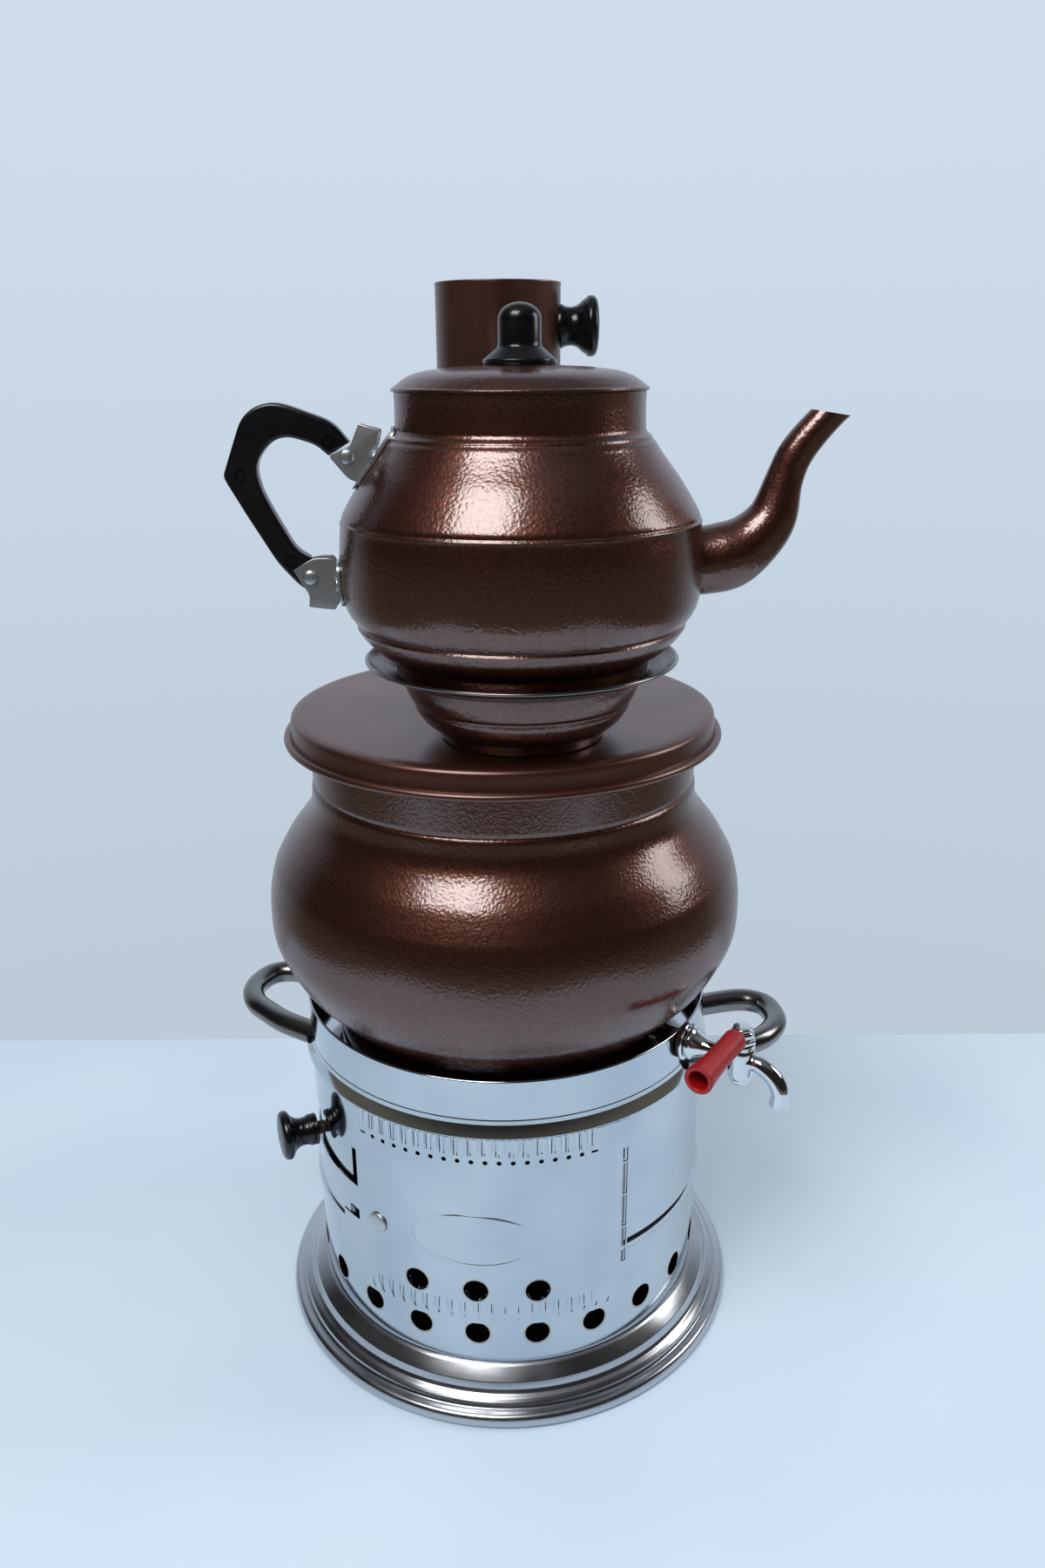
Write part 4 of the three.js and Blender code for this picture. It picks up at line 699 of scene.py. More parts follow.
# %% The pressed forms
PANEL, PANEL_LOW, PANEL_TOP = 111.3, 50.3, 162.9
ARC = math.radians(1) * PANEL
CRIMPS_FROM, OVAL_HEIGHT, OVAL_HALF_WIDTH, OVAL_HALF_HEIGHT = 151.6, 102.4, 31.5, 14.8


def ease(value, low, high):
    share = min(max((value - low) / (high - low), 0.0), 1.0)
    return share * share * (3 - 2 * share)


def line_at(distance, width):
    """A pressed line: 1 on the line and 0 beside it."""
    return math.exp(-((distance / width) ** 2))


def crimps(azimuth, height):
    """Dents above the row of small holes: a light one over each hole and a deeper one between two."""
    off = (azimuth - HOLES_FROM) % CRIMP
    beside = min(off, CRIMP - off) * ARC
    dents = 0.75 * line_at((off - CRIMP / 2) * ARC, 0.7) + 0.45 * line_at(beside, 0.7)
    worked = ease(height, CRIMPS_FROM, 157.0) * (1 - ease(abs(azimuth + 0.4), 32, 33))
    return 0.12 * line_at(height - CRIMPS_FROM, 1.2) * (1 - beside / 9) - dents * worked


def lower_ribs(azimuth, height):
    """A row of arched ribs, and the lower edge drawn in towards the shell."""
    off = (azimuth - HOLES_FROM) % CRIMP
    rib = (0.5 + 0.5 * math.cos(2 * math.pi * (off - 1.0) / CRIMP)) ** 3
    arch = 65.6 - 2.2 * (1 - rib)
    ribs = 0.42 * rib * (1 - ease(height, arch - 6, arch)) * ease(height, 51, 56.5)
    return ribs * (1 - ease(abs(azimuth - 3), 34, 35)) - 1.1 * (1 - ease(height, PANEL_LOW, 62.0))


def oval_ridge(azimuth, height):
    """One even ridge round an ellipse, whatever its curve."""
    across, above = (azimuth + 0.2) * ARC, height - OVAL_HEIGHT
    scaled = math.hypot(across / OVAL_HALF_WIDTH, above / OVAL_HALF_HEIGHT)
    slope = math.hypot(across / OVAL_HALF_WIDTH**2, above / OVAL_HALF_HEIGHT**2)
    from_oval = (scaled - 1) * scaled / slope if scaled > 0.3 else OVAL_HALF_HEIGHT
    return 0.56 * line_at(from_oval, 1.35)


def slot_seam(azimuth, height):
    """A groove and a low ridge on the slot's left side."""
    seam = 0.25 * line_at((azimuth - 38.0) * ARC, 0.7) - 0.3 * line_at((azimuth - 39.3) * ARC, 0.7)
    return seam * ease(height, 74, 78)


def relief(azimuth, height):
    """How far the press has moved the sheet outwards, in millimetres."""
    return sum(form(azimuth, height) for form in (crimps, lower_ribs, oval_ridge, slot_seam))


# %% The grid and its thickness
PANEL_FROM, NOTCH_TO, PANEL_TO, NOTCH_LOW = -43, -35.7, 42, 92


def levels(*runs):
    """Even steps through one run after another."""
    heights = []
    for low, high, step in runs:
        count = max(1, round((high - low) / step))
        heights += [low + (high - low) * k / count for k in range(count)]
    return [*heights, runs[-1][1]]


def panel_mesh():
    azimuths = levels((PANEL_FROM, NOTCH_TO, 0.365), (NOTCH_TO, PANEL_TO, 0.259))
    heights = levels(
        (PANEL_LOW, 68, 0.6), (68, 85.4, 2.9), (85.4, NOTCH_LOW, 0.55), (NOTCH_LOW, 118.4, 0.55),
        (118.4, 149.6, 3.9), (149.6, PANEL_TOP, 0.8),
    )
    bm = bmesh.new()
    skins = []
    for inset in (0.0, 0.8):
        grid = []
        for azimuth in azimuths:
            angle = math.radians(azimuth)
            column = []
            for height in heights:
                r = PANEL + relief(azimuth, height) - inset
                column.append(bm.verts.new((r * math.sin(angle), -r * math.cos(angle), height)))
            grid.append(column)
        skins.append(grid)
    kept = {}
    for i in range(len(azimuths) - 1):
        for j in range(len(heights) - 1):
            kept[i, j] = azimuths[i] >= NOTCH_TO or heights[j] < NOTCH_LOW
    for (i, j), stays in kept.items():
        if not stays:
            continue
        for grid in skins:
            bm.faces.new((grid[i][j], grid[i + 1][j], grid[i + 1][j + 1], grid[i][j + 1]))
        edges = {(-1, 0): ((i, j), (i, j + 1)), (1, 0): ((i + 1, j), (i + 1, j + 1)),
                 (0, -1): ((i, j), (i + 1, j)), (0, 1): ((i, j + 1), (i + 1, j + 1))}
        for (di, dj), (a, b) in edges.items():
            if not kept.get((i + di, j + dj), False):
                outer, inner = skins
                bm.faces.new((outer[a[0]][a[1]], outer[b[0]][b[1]], inner[b[0]][b[1]], inner[a[0]][a[1]]))
    loose = [v for v in bm.verts if not v.link_faces]
    bmesh.ops.delete(bm, geom=loose, context="VERTS")
    return bm


# %% Its vents, holes and slot
BEHIND, PANEL_INNER_FACE, PANEL_EDGE_ANGLE = 109, 109.9, 40
END_HALF, END_LOW, END_HIGH = 0.9, 149.4, 150.7
SLOT_FROM, SLOT_TO = 40.1, 41.6
SLOT_RUNS = [(76, 97.2), (98.2, 116.9), (117.9, 136.5), (137.5, 145.7)]
cuts = vent_rods(panel_vents, PANEL_VENT_HEIGHT, VENT, PANEL_INNER_FACE, OUTSIDE)
vent_rods(pin_holes[1:-1], HOLES_HEIGHT, SMALL_HOLE, BEHIND, OUTSIDE, 14, into=cuts)
vent_rods([RIVET_AZIMUTH], RIVET_HEIGHT, RIVET_HOLE, BEHIND, OUTSIDE, 16, into=cuts)
for azimuth in (pin_holes[0], pin_holes[-1]):
    curved_block(azimuth - END_HALF, azimuth + END_HALF, END_LOW, END_HIGH, BEHIND, OUTSIDE, into=cuts)
for low, high in SLOT_RUNS:
    curved_block(SLOT_FROM, SLOT_TO, low, high, BEHIND, OUTSIDE, into=cuts)

# %% Its scored lines, and the panel punched
SCORE_COUNT = 35
SCORE_HALF, SCORE_FLOOR, SCORE_TOP = 0.13, 110.35, 162.3
CREASE_HALF, CREASE_FLOOR, CREASE_LOW = 0.11, 110.6, 54
for k in range(1, SCORE_COUNT + 1):
    score = HOLES_FROM + CRIMP * (k + 0.5 * (k % 2)) / 2 + 0.15 * math.sin(9 * k)
    low = 153.4 + 0.5 * math.sin(7 * k)
    curved_block(score - SCORE_HALF, score + SCORE_HALF, low, SCORE_TOP, SCORE_FLOOR, OUTSIDE, into=cuts)
    crease = HOLES_FROM + 1.0 + CRIMP * (k + 0.3 * (k % 2)) / 2
    high = 64.4 + 0.4 * math.sin(7 * k)
    sides = (crease - CREASE_HALF, crease + CREASE_HALF)
    curved_block(*sides, CREASE_LOW, high, CREASE_FLOOR, OUTSIDE, into=cuts)
panel = new_object(panel_mesh(), "pressed_front_panel", edge_angle=PANEL_EDGE_ANGLE)
dress(punch(panel, cuts, PANEL_EDGE_ANGLE), "fire_base", chrome, "front_panel")
lips = vent_lips(panel_vents, PANEL_VENT_HEIGHT, VENT, PANEL)
add_piece(lips, "panel_vent_lips", "fire_base", bare_edge)

# %% Folded tabs in the slot, and the round rivet
TAB_FROM, TAB_TO, TAB_GAP, TAB_INSIDE, TAB_OUTSIDE = 40.45, 41.35, 0.6, 109.4, 110.2
tabs = bmesh.new()
for low, high in SLOT_RUNS[:3]:
    curved_block(TAB_FROM, TAB_TO, low + TAB_GAP, high - TAB_GAP, TAB_INSIDE, TAB_OUTSIDE, into=tabs)
add_piece(tabs, "folded_panel_tabs", "fire_base", nickel)
rivet = revolve(rounded([
    (0, 106.8), (2.4, 106.8), (2.4, 111.4), (5.7, 111.4, 0.2), (5.7, 112.4, 0.7), (3.8, 113.1, 2), (0, 113.2),
]), 40)
at_rivet = facing(RIVET_AZIMUTH, RIVET_HEIGHT)
add_piece(rivet, "panel_rivet_domed", "fire_base", matt_rivet, "panel_rivet", moved=at_rivet)

# %% [markdown]
# ## Collar
# The chromed collar carries the pot. It has a skirt that drops into the shell, a sloping flange above the
# joint, a rolled top rim, and an inner ring that the pot's foot stands on. Skirt, flange and rim are one
# outline.

# %% Collar
TAP_AZIMUTH, TAP_HEIGHT, TAP_HOLE, THROUGH_COLLAR = 64.5, 187, 5.25, (95, 113)
collar_outer = [
    (107.2, 157), (107.2, 162.8), *rounded([
        (107.6, 163.2), (111.5, 163.2, 0.4), (111.9, 164.0, 0.3), (109.9, 170.6, 0.3), (109.6, 172.9, 0.2),
        (109.4, 173.3, 0.2), (109.4, 193.4),
    ]),
]
rim_roll = arc(108.7, 193.9, 0.7, 0.7, 0, 180, 8)
inner_side = [(108.0, 193), (108.3, 191.8), (108.4, 171.9), (108.4, 164.3), (106.2, 164.2), (106.2, 157)]
collar_bm = revolve([*collar_outer, *rim_roll, *inner_side], 160, len(collar_outer) + len(rim_roll))
revolve(rounded([(89.4, 170.7, 0.3), (108.5, 170.7), (108.5, 171.7), (89.4, 171.7)]), 160, into=collar_bm)
tap_hole = vent_rods([TAP_AZIMUTH], TAP_HEIGHT, TAP_HOLE, *THROUGH_COLLAR)
collar = punch(new_object(collar_bm, "chromed_collar"), tap_hole)
# The collar's inside takes the dark soot finish as painted shade, to blacken the gap between the pot and the
# collar.
dress(true_round(collar), "boiler", (chrome, soot_and_shade), "pot_collar")

# %% Side handles of bent nickelled tube
COLLAR_INSIDE, HANDLE_HEIGHT = 107.6, 171
for name, node, side in (("bent_handle_left", "left_handle", -1), ("bent_handle_right", "right_handle", 1)):
    route = [
        (100, -40), (119, -31), (131, -22.5), (142, -13), (148.7, 0), (148.7, 12), (143.6, 22.5), (132.6, 26),
        (118.8, 22), (100, 13),
    ]
    curve = flowing([(side * x, y, HANDLE_HEIGHT) for x, y in route], 8)
    curve = [p for p in curve if math.hypot(p[0], p[1]) > COLLAR_INSIDE]
    add_piece(sweep(curve, 6.2, 32, up=Vector((0, 0, 1))), name, "boiler", nickel, node)

# %% [markdown]
# ## Pot
# The pot's belly is one flowing curve from the foot to the neck. A groove marks the neck, and the mouth
# flares under the lid. Outside it is hammertone, and inside bare aluminium.

# %% Where the flue and the teapot stand
FLUE_AT, TEAPOT_AT, TURNED = (-9.71, 61.3, 0), (17.39, -51.91, 0), Matrix.Rotation(math.radians(9), 4, "Z")
CHIMNEY = Matrix.Translation(FLUE_AT) @ TURNED
TEAPOT = Matrix.Translation(TEAPOT_AT) @ TURNED
print("flue at", FLUE_AT, "and teapot at", TEAPOT_AT)

# %% Pot
pot_outer = [
    *rounded([(0, 172), (92, 172, 2.6), (92, 187)]),
    *flowing([
        (92, 187.6), (95.2, 190.4), (99.4, 194.8), (106.3, 201.9), (113.3, 210), (119, 219.9), (124, 232.1),
        (125, 244.5), (124.3, 256.9), (121.6, 268.4), (119.0, 274), (116.2, 279), (113.0, 284.2),
        (109.0, 289.4), (104.8, 294.8), (101.8, 299.6), (100.1, 305), (99.6, 311.4),
    ], 4),
    *rounded([
        (99.4, 312.6), (98.3, 313.9, 0.8), (98.9, 315.6, 1.0), (99.5, 337.0, 4), (104.6, 346.3, 1),
        (105.5, 347.7),
    ]),
]
outline, split = sheet_wall(pot_outer, 1.2)
FLUE_BORE, THROUGH_POT = 26.3, (82, 97)
flue_bore = revolve([(0, 165), (FLUE_BORE, 165), (FLUE_BORE, 180), (0, 180)], 64)
pot_holes = placed(flue_bore, Matrix.Translation(FLUE_AT))
vent_rods([TAP_AZIMUTH], TAP_HEIGHT, TAP_HOLE, *THROUGH_POT, into=pot_holes)
pot = punch(new_object(revolve(outline, 192, split), "hammertone_pot"), pot_holes)
dress(pot, "boiler", (hammertone, bare_inside), "boiler_pot")

# %% Flue through the pot
flue_outer = rounded([
    (26, 169.5), (26, 342.6, 4), (30.7, 349.2, 3), (30.7, 351.2), (33.5, 351.9, 0.6), (33.5, 354.2, 0.6),
    (30.7, 354.3), (30.7, 374.3),
])
outline, split = sheet_wall(flue_outer, 1)
flue = revolve(outline, 72, split)
add_piece(flue, "flue_with_stop", "boiler", (satin, soot_and_shade), "flue_tube", moved=CHIMNEY)

# %% [markdown]
# ## Chimney pipe, lid and dish
# The pipe is a plain thin tube with a turned knob to lift it by. The lid is a flat satin disc with a
# rounded shoulder and a rolled bead, and a hole for the flue. The dish for the teapot is pressed in
# steps and its rim is thin bright metal.

# %% Chimney pipe and knob
pipe = revolve(rounded([
    (31.1, 354.6), (32, 354.6, 0.3), (32, 551.9), (32.25, 552.6, 0.5), (32.2, 553.3, 0.4), (31.6, 553.6, 0.4),
    (31.1, 553.0),
]), 96)
add_piece(pipe, "chimney_pipe_satin", "chimney", satin, "chimney_pipe", moved=CHIMNEY)
at_knob = CHIMNEY @ Matrix.Translation((0, 0, 532.6)) @ ABOUT_X
chimney_knob = revolve(spool_knob(30.4, 21.6, 9.5, 14.7), 64)
add_piece(chimney_knob, "chimney_knob_turned", "chimney", bakelite, "chimney_knob", moved=at_knob)

# %% Pot lid
lid_outer = [
    (107.4, 335.9), *arc(109.7, 337.8, 2.3, 2.1, -150, 120, 9), (108.2, 341),
    *rounded([(108.2, 345), (107.9, 348.8, 3.2), (104, 350.2, 3), (60, 350.2)]), (0, 350.2),
]
outline, split = sheet_wall(lid_outer, 1)
lid_hole = revolve([(0, 345), (35.2, 345), (35.2, 355), (0, 355)], 72)
lid = punch(new_object(revolve(outline, 160, split), "satin_pot_lid"), placed(lid_hole, CHIMNEY))
dress(lid, "pot_cover", (satin, bare_inside), "pot_lid")

# %% Teapot dish
dish_outer = rounded([
    (0, 350.5), (38, 350.5, 1), (38.2, 355.0, 1), (41.4, 356.0, 1), (44.6, 358.4, 2), (47.1, 360.9, 2),
    (50.2, 365.8, 1.4), (50.4, 368.6, 0.8), (51.8, 370, 1), (54, 374.9, 2.4), (55.1, 380.0, 0.6),
    (55.3, 381, 0.4), (58.7, 381, 1), (63.6, 383.6, 3), (68.2, 385.6, 3), (70.9, 387.8, 1),
])
outline, split = sheet_wall(dish_outer, 1)
dish = revolve(outline, 128)
add_piece(dish, "stepped_teapot_dish", "teapot_stand", hammertone, "teapot_seat", moved=TEAPOT)
rim_ring = revolve(arc(71.2, 388.0, 0.9, 0.8, 0, 360, 12)[:-1], 128)
add_piece(rim_ring, "dish_bright_rim", "teapot_stand", nickel, moved=TEAPOT)

# %% [markdown]
# ## Teapot
# The body is turned from one outline with three worked lines: a groove above the foot, a ridge at the
# belly and a step under the neck. The spout is a tapering tube bent like a swan's neck, cut off level.

# %% Teapot body
body_line = [
    *rounded([(0, 382.3), (58, 382.3, 1.2), (58, 389.3, 0.6), (60.4, 390.4)]),
    *flowing([(66, 393.9), (71.3, 399), (74.4, 403.4)], 3),
    *rounded([(74.6, 404), (73.7, 405.2, 0.6), (75.6, 407.2)]),
    *flowing([(77.9, 410.4), (79.6, 414.6), (80.7, 421), (80.95, 430.5), (80.7, 440.5), (79.9, 448.6)], 4),
    *rounded([(79.95, 449.4), (80.2, 450.2, 0.4), (79.2, 451.4, 0.4), (79.2, 452.4)]),
    *flowing([(78.7, 453.6), (76.5, 457.5), (73.1, 463.0), (68.9, 469.2), (64.0, 475.6), (59.7, 481.6)], 4),
    *rounded([
        (59.0, 483.0), (58.2, 483.7, 0.4), (57.5, 484.5, 0.4), (57.1, 485.6, 0.4), (55.4, 486.9, 0.5),
        (54.5, 488.3, 0.7), (54.3, 494, 2), (54.2, 499, 2), (54.4, 504),
    ]),
]


def on_the_dish(made):
    """Takes a piece that was cut about its own axis to the teapot's place, in metres."""
    place = Matrix.Translation(Vector(TEAPOT_AT) / 1000) @ TURNED
    for spot in made.data.vertices:
        spot.co = place @ spot.co
    return made


SPOUT_ROOT = 430.3
outline, split = sheet_wall(body_line, 1)
spout_hole = revolve([(0, 52.9), (10, 52.9), (10, 83.5), (0, 83.5)], 32)
placed(spout_hole, Matrix.Translation((0, 0, SPOUT_ROOT)) @ ABOUT_X)
teapot = punch(new_object(revolve(outline, 160, split), "hammertone_teapot"), spout_hole)
dress(on_the_dish(teapot), "teapot", (hammertone, bare_inside), "teapot_body")

# %% Spout
route = [
    (69.5, SPOUT_ROOT), (82.7, 430.8), (94.2, 433.3), (104.5, 440), (112.3, 450), (116.5, 465.7),
    (121.5, 478), (132.9, 492), (144.7, 503),
]
girth = [15.3, 15.3, 15.3, 13, 11, 8.4, 7.8, 7.1, 6.8]
curve = flowing([(x, z, r) for (x, z), r in zip(route, girth)], 6)
spout_bm = sweep([(x, 0, z) for x, z, _ in curve], [r for _, _, r in curve], 36, bore=1.3)
tip, lean = Vector((145.5, 0, 492.6)), math.radians(9)
bmesh.ops.bisect_plane(
    spout_bm, geom=[*spout_bm.verts, *spout_bm.edges, *spout_bm.faces], plane_co=tip,
    plane_no=(math.sin(lean), 0, math.cos(lean)), clear_outer=True,
)
rim = [e for e in spout_bm.edges if e.is_boundary]
bmesh.ops.holes_fill(spout_bm, edges=[], sides=0)
bmesh.ops.bridge_loops(spout_bm, edges=rim)
body_core = revolve([(0, 382.3), *[p for p in body_line if p[0] > 1], (0, 504)], 160)
spout = punch(new_object(spout_bm, "swan_neck_spout"), body_core)
dress(on_the_dish(spout), "teapot", hammertone, "teapot_spout")

# %% Teapot lid and knob
cover_line = rounded([
    (55.5, 504.3), (55.6, 505.4, 0.5), (54.5, 505.9, 0.5), (52.6, 507.4, 1.5), (48.6, 510.2, 3),
    (42.4, 512.3, 5), (30.0, 513.8, 6), (16, 514.4, 5), (0, 514.4),
])
outline, split = sheet_wall(cover_line, 1)
cover = revolve(outline, 128, split)
revolve([(49.6, 498.3), (50.6, 498.3), (50.6, 507), (49.6, 507)], 128, into=cover)
inside_and_out = (hammertone, bare_inside)
add_piece(cover, "hammertone_teapot_lid", "teapot_cover", inside_and_out, "teapot_lid", moved=TEAPOT)
knob_line = [
    (0, 514.6), *rounded([
        (15.4, 514.6, 0.4), (15.9, 515.3, 0.4), (15.9, 516.8, 0.4), (14.9, 517.6, 0.3), (14.3, 518.1, 0.2),
        (9.7, 521.8, 0.7), (9.3, 523.2, 0.6), (9.3, 532.8, 0.5),
    ]), *arc(0, 532.8, 9.3, 6.8, 0, 90, 8)[1:-1], (0, 539.6),
]
add_piece(revolve(knob_line, 64), "teapot_lid_knob", "teapot_cover", bakelite, "lid_knob", moved=TEAPOT)

# %% [markdown]
# ## Teapot handle
# A flat black bakelite plate bent like a hook, with eased edges and three moulded round recesses. Two
# folded aluminium brackets hold it. Each has a cheek on both sides of the plate and a web that follows
# the teapot's wall, with a rivet through the plate and one through each end of the web.

# %% Handle plate with its recesses
outer_run = [
    (-74.1, 483.4, 1.5), (-81.1, 492.1, 5), (-101.2, 499.4, 5), (-107.9, 500.2, 4), (-114.8, 498.1, 4),
    (-120.4, 493.1, 4), (-124.7, 482.3, 4), (-129.6, 469.8, 1.6), (-128.7, 467.2, 1.6), (-120.4, 452.1, 4),
    (-108.5, 431.6, 4), (-99.8, 421.8, 4), (-95.3, 418.9, 2),
]
inner_run = [
    (-83.4, 477.9, 2), (-88.5, 482.4, 3), (-97.7, 485.4, 4), (-102.2, 485.8, 3), (-108, 484, 4),
    (-113.8, 477.4, 4), (-115.4, 471.6, 4), (-113.4, 463, 4), (-107.1, 450.1, 4), (-100.3, 437.8, 4),
    (-94.3, 434.2, 2),
]
PLATE_EDGE_ANGLE = 50
grip_points = [p[:2] for p in (*rounded(outer_run, 4), *reversed(rounded(inner_run, 4)))]
handle = new_object(plate(grip_points, 9, 1.3), "bakelite_handle_plate", edge_angle=PLATE_EDGE_ANGLE)
pits = bmesh.new()
for x, z in ((-121.6, 469.8), (-82.7, 483.8), (-102.2, 432.7)):
    for low, high in ((-5, -3.4), (3.4, 5)):
        pit = revolve([(1.4, low), (3.1, low), (3.1, high), (1.4, high)], 28)
        joined_to(pits, placed(pit, Matrix.Translation((x, 0, z)) @ ABOUT_Y))
handle = punch(handle, pits, PLATE_EDGE_ANGLE)
for face in handle.data.polygons:
    face.use_smooth = abs(face.normal.y) < 0.98
dress(on_the_dish(handle), "teapot", bakelite, "teapot_handle")


# %% Brackets
def body_radius(height):
    """The teapot's outer radius at a height."""
    for (r0, z0), (r1, z1) in zip(body_line, body_line[1:]):
        if z0 <= height <= z1 and z1 > z0:
            return r0 + (r1 - r0) * (height - z0) / (z1 - z0)
    raise ValueError(f"the teapot has no wall at {height}")


BRACKET_SHEET = 1.2
WEB_SHARES = {"upper": (0.13, 0.44), "lower": (0.83, 1.07)}


def web_mesh(low, high, half_width=14.0, corner=4.5, gap=0.35, rows=16, columns=28):
    """The bracket's web: a strip with round corners that follows the teapot's wall."""
    bm = bmesh.new()
    skins = []
    for inset in (gap + BRACKET_SHEET, gap):
        grid = []
        for i in range(rows + 1):
            z = low + (high - low) * i / rows
            edge = min(z - low, high - z)
            trim = corner - math.sqrt(max(corner**2 - max(corner - edge, 0) ** 2, 0))
            line = []
            for k in range(columns + 1):
                y = (half_width - trim) * (2 * k / columns - 1)
                reach = body_radius(z) + inset
                line.append(bm.verts.new((-math.sqrt(reach**2 - y * y), y, z)))
            grid.append(line)
        skins.append(grid)
    outer, inner = skins
    for i in range(rows):
        for k in range(columns):
            for grid in skins:
                bm.faces.new((grid[i][k], grid[i][k + 1], grid[i + 1][k + 1], grid[i + 1][k]))
        for k in (0, columns):
            bm.faces.new((outer[i][k], outer[i + 1][k], inner[i + 1][k], inner[i][k]))
    for i in (0, rows):
        for k in range(columns):
            bm.faces.new((outer[i][k], outer[i][k + 1], inner[i][k + 1], inner[i][k]))
    return bm


def handle_height(share):
    """A height on the handle: 0 is its top and 1 its lower end."""
    return 500.2 - 81.3 * share


def bracket(level, cheek):
    top, bottom = WEB_SHARES[level]
    bm = web_mesh(handle_height(bottom), handle_height(top))
    for side in (-1, 1):
        flange = plate([p[:2] for p in rounded([*cheek, cheek[0]], 4)][:-1], BRACKET_SHEET, 0.35)
        joined_to(bm, placed(flange, Matrix.Translation((0, side * 5.4, 0))))
    name, node = f"{level}_handle_bracket", f"{level}_bracket"
    add_piece(bm, name, "teapot", aluminium, node, moved=TEAPOT, edge_angle=45)


bracket("upper", [
    (-69.8, 491.3, 1), (-60.6, 488.4, 1), (-61.6, 482.9, 2), (-70.4, 466.6, 2), (-74.9, 467.9, 3),
    (-83.4, 478.3, 2.5), (-73.3, 482.3, 2),
])
bracket("lower", [
    (-101.7, 428.8, 2), (-92.7, 434.2, 3), (-84.5, 434.1, 2), (-82.0, 427.8, 1), (-81.9, 415.2, 1),
    (-83.9, 410.9, 1), (-95.7, 412.2, 1), (-95, 417.4, 2),
])

# %% Rivets through the handle and through the webs
RIVET_HEAD, SHANK, HALF_GRIP = 3.3, 2, 6.3


def pin_mesh():
    """A rivet with a domed head at both ends."""
    upper = [*reversed(arc(0, HALF_GRIP, RIVET_HEAD, 1.25, 0, 90, 6)), (RIVET_HEAD, HALF_GRIP - 0.15)]
    upper.append((SHANK, HALF_GRIP - 0.15))
    return revolve([*upper, *[(r, -z) for r, z in reversed(upper)]], 32)


for level, (x, z) in {"upper": (-75.1, 477.5), "lower": (-94.1, 425.6)}.items():
    name, node = f"{level}_grip_rivet", f"{level}_handle_rivet"
    lies = TEAPOT @ Matrix.Translation((x, 0, z)) @ ABOUT_Y
    add_piece(pin_mesh(), name, "teapot", aluminium, node, moved=lies)


def web_rivet(name, node, height, side):
    """A rivet that stands square to the teapot's wall, left or right of the handle."""
    reach = body_radius(height)
    slope = (body_radius(height + 1) - body_radius(height - 1)) / 2
    tilt = Matrix.Rotation(math.pi / 2 - math.atan(-slope), 4, "Y")
    dome = arc(0, 1.7, RIVET_HEAD, 1.3, 0, 90, 6)[:-1]
    shape = revolve([(0, -2.2), (SHANK, -2.2), (SHANK, 1.5), (RIVET_HEAD, 1.5), *dome, (0, 3.0)], 32)
    turn = Matrix.Rotation(math.pi + side * 10 / reach, 4, "Z")
    stands = TEAPOT @ turn @ Matrix.Translation((reach, 0, height)) @ tilt
    add_piece(shape, name, "teapot", aluminium, node, moved=stands)


for level, shares in WEB_SHARES.items():
    for name, side in (("left", -1), ("right", 1)):
        height = handle_height(sum(shares) / 2)
        web_rivet(f"{level}_web_stud_{name}", f"{level}_web_rivet_{name}", height, side)

# %% [markdown]
# ## Tap
# A small bright tap is screwed through the collar and the pot: washer, flange and a thin neck, an upright
# barrel with a bent spout, a six-sided gland nut, and a lever with a red grip. It is built in its own
# frame with the neck along X, then turned to its azimuth.

# %% Tap body and spout
TAP = Matrix.Translation((0, 0, TAP_HEIGHT)) @ Matrix.Rotation(math.radians(TAP_AZIMUTH - 90), 4, "Z")
BARREL = 141.7
on_valve = TAP @ Matrix.Translation((BARREL, 0, 0))
washer = rounded([(5.3, 111.5, 0.2), (9.6, 111.5, 0.3), (10, 112.2, 0.5), (9, 113, 0.5), (5.3, 113)])
add_piece(revolve(washer, 48), "tap_washer_ring", "boiler", tap_chrome, "tap_washer", moved=TAP @ ABOUT_X)
neck = rounded([
    (3, 79), (5, 79), (5, 113.3), (8.0, 113.3, 0.5), (8.5, 114.2, 0.6), (8.5, 115.8, 0.8), (7.4, 116.6, 0.6),
    (5.9, 119.5, 2.5), (4.6, 123.5, 2), (4.2, 128, 2), (4.4, 131.5, 1), (5.6, 132.4, 0.5), (5.6, 133.9, 0.5),
    (4.8, 134.8, 0.5), (4.8, BARREL - 5), (3, BARREL - 5),
])
tap = placed(revolve(neck, 48), ABOUT_X)
barrel = rounded([
    (0, -14.0), (3.6, -14.0, 1), (4.4, -12.9, 0.5), (5.2, -12.2, 0.6), (5.2, -10.4, 0.5), (6.3, -9.6, 0.5),
    (6.8, -7.4, 1.2), (7, 0, 2), (6.8, 5.4, 1.2), (6.1, 6.9, 0.5), (6.6, 7.6, 0.4), (6.8, 9.2, 0.4),
    (4.85, 9.2), (4.85, -11.2), (0, -11.2),
])
bend = [(4, 0), (6.5, -0.1), (10.8, -0.7), (17.4, -4.8), (21.2, -11.4), (21.5, -19)]
tap_spout = flowing([(BARREL + x, 0, z) for x, z in bend], 6)
last = len(tap_spout) - 1
swell = [5.4 - 0.9 * ease(k, 0, 8) + 0.5 * ease(k, last - 3, last) for k in range(last + 1)]
sweep(tap_spout, swell, 32, bore=1.5, into=tap)
joined_to(tap, placed(revolve(barrel, 48), Matrix.Translation((BARREL, 0, 0))))
add_piece(tap, "chromed_tap_body", "boiler", tap_chrome, "tap_body", moved=TAP)

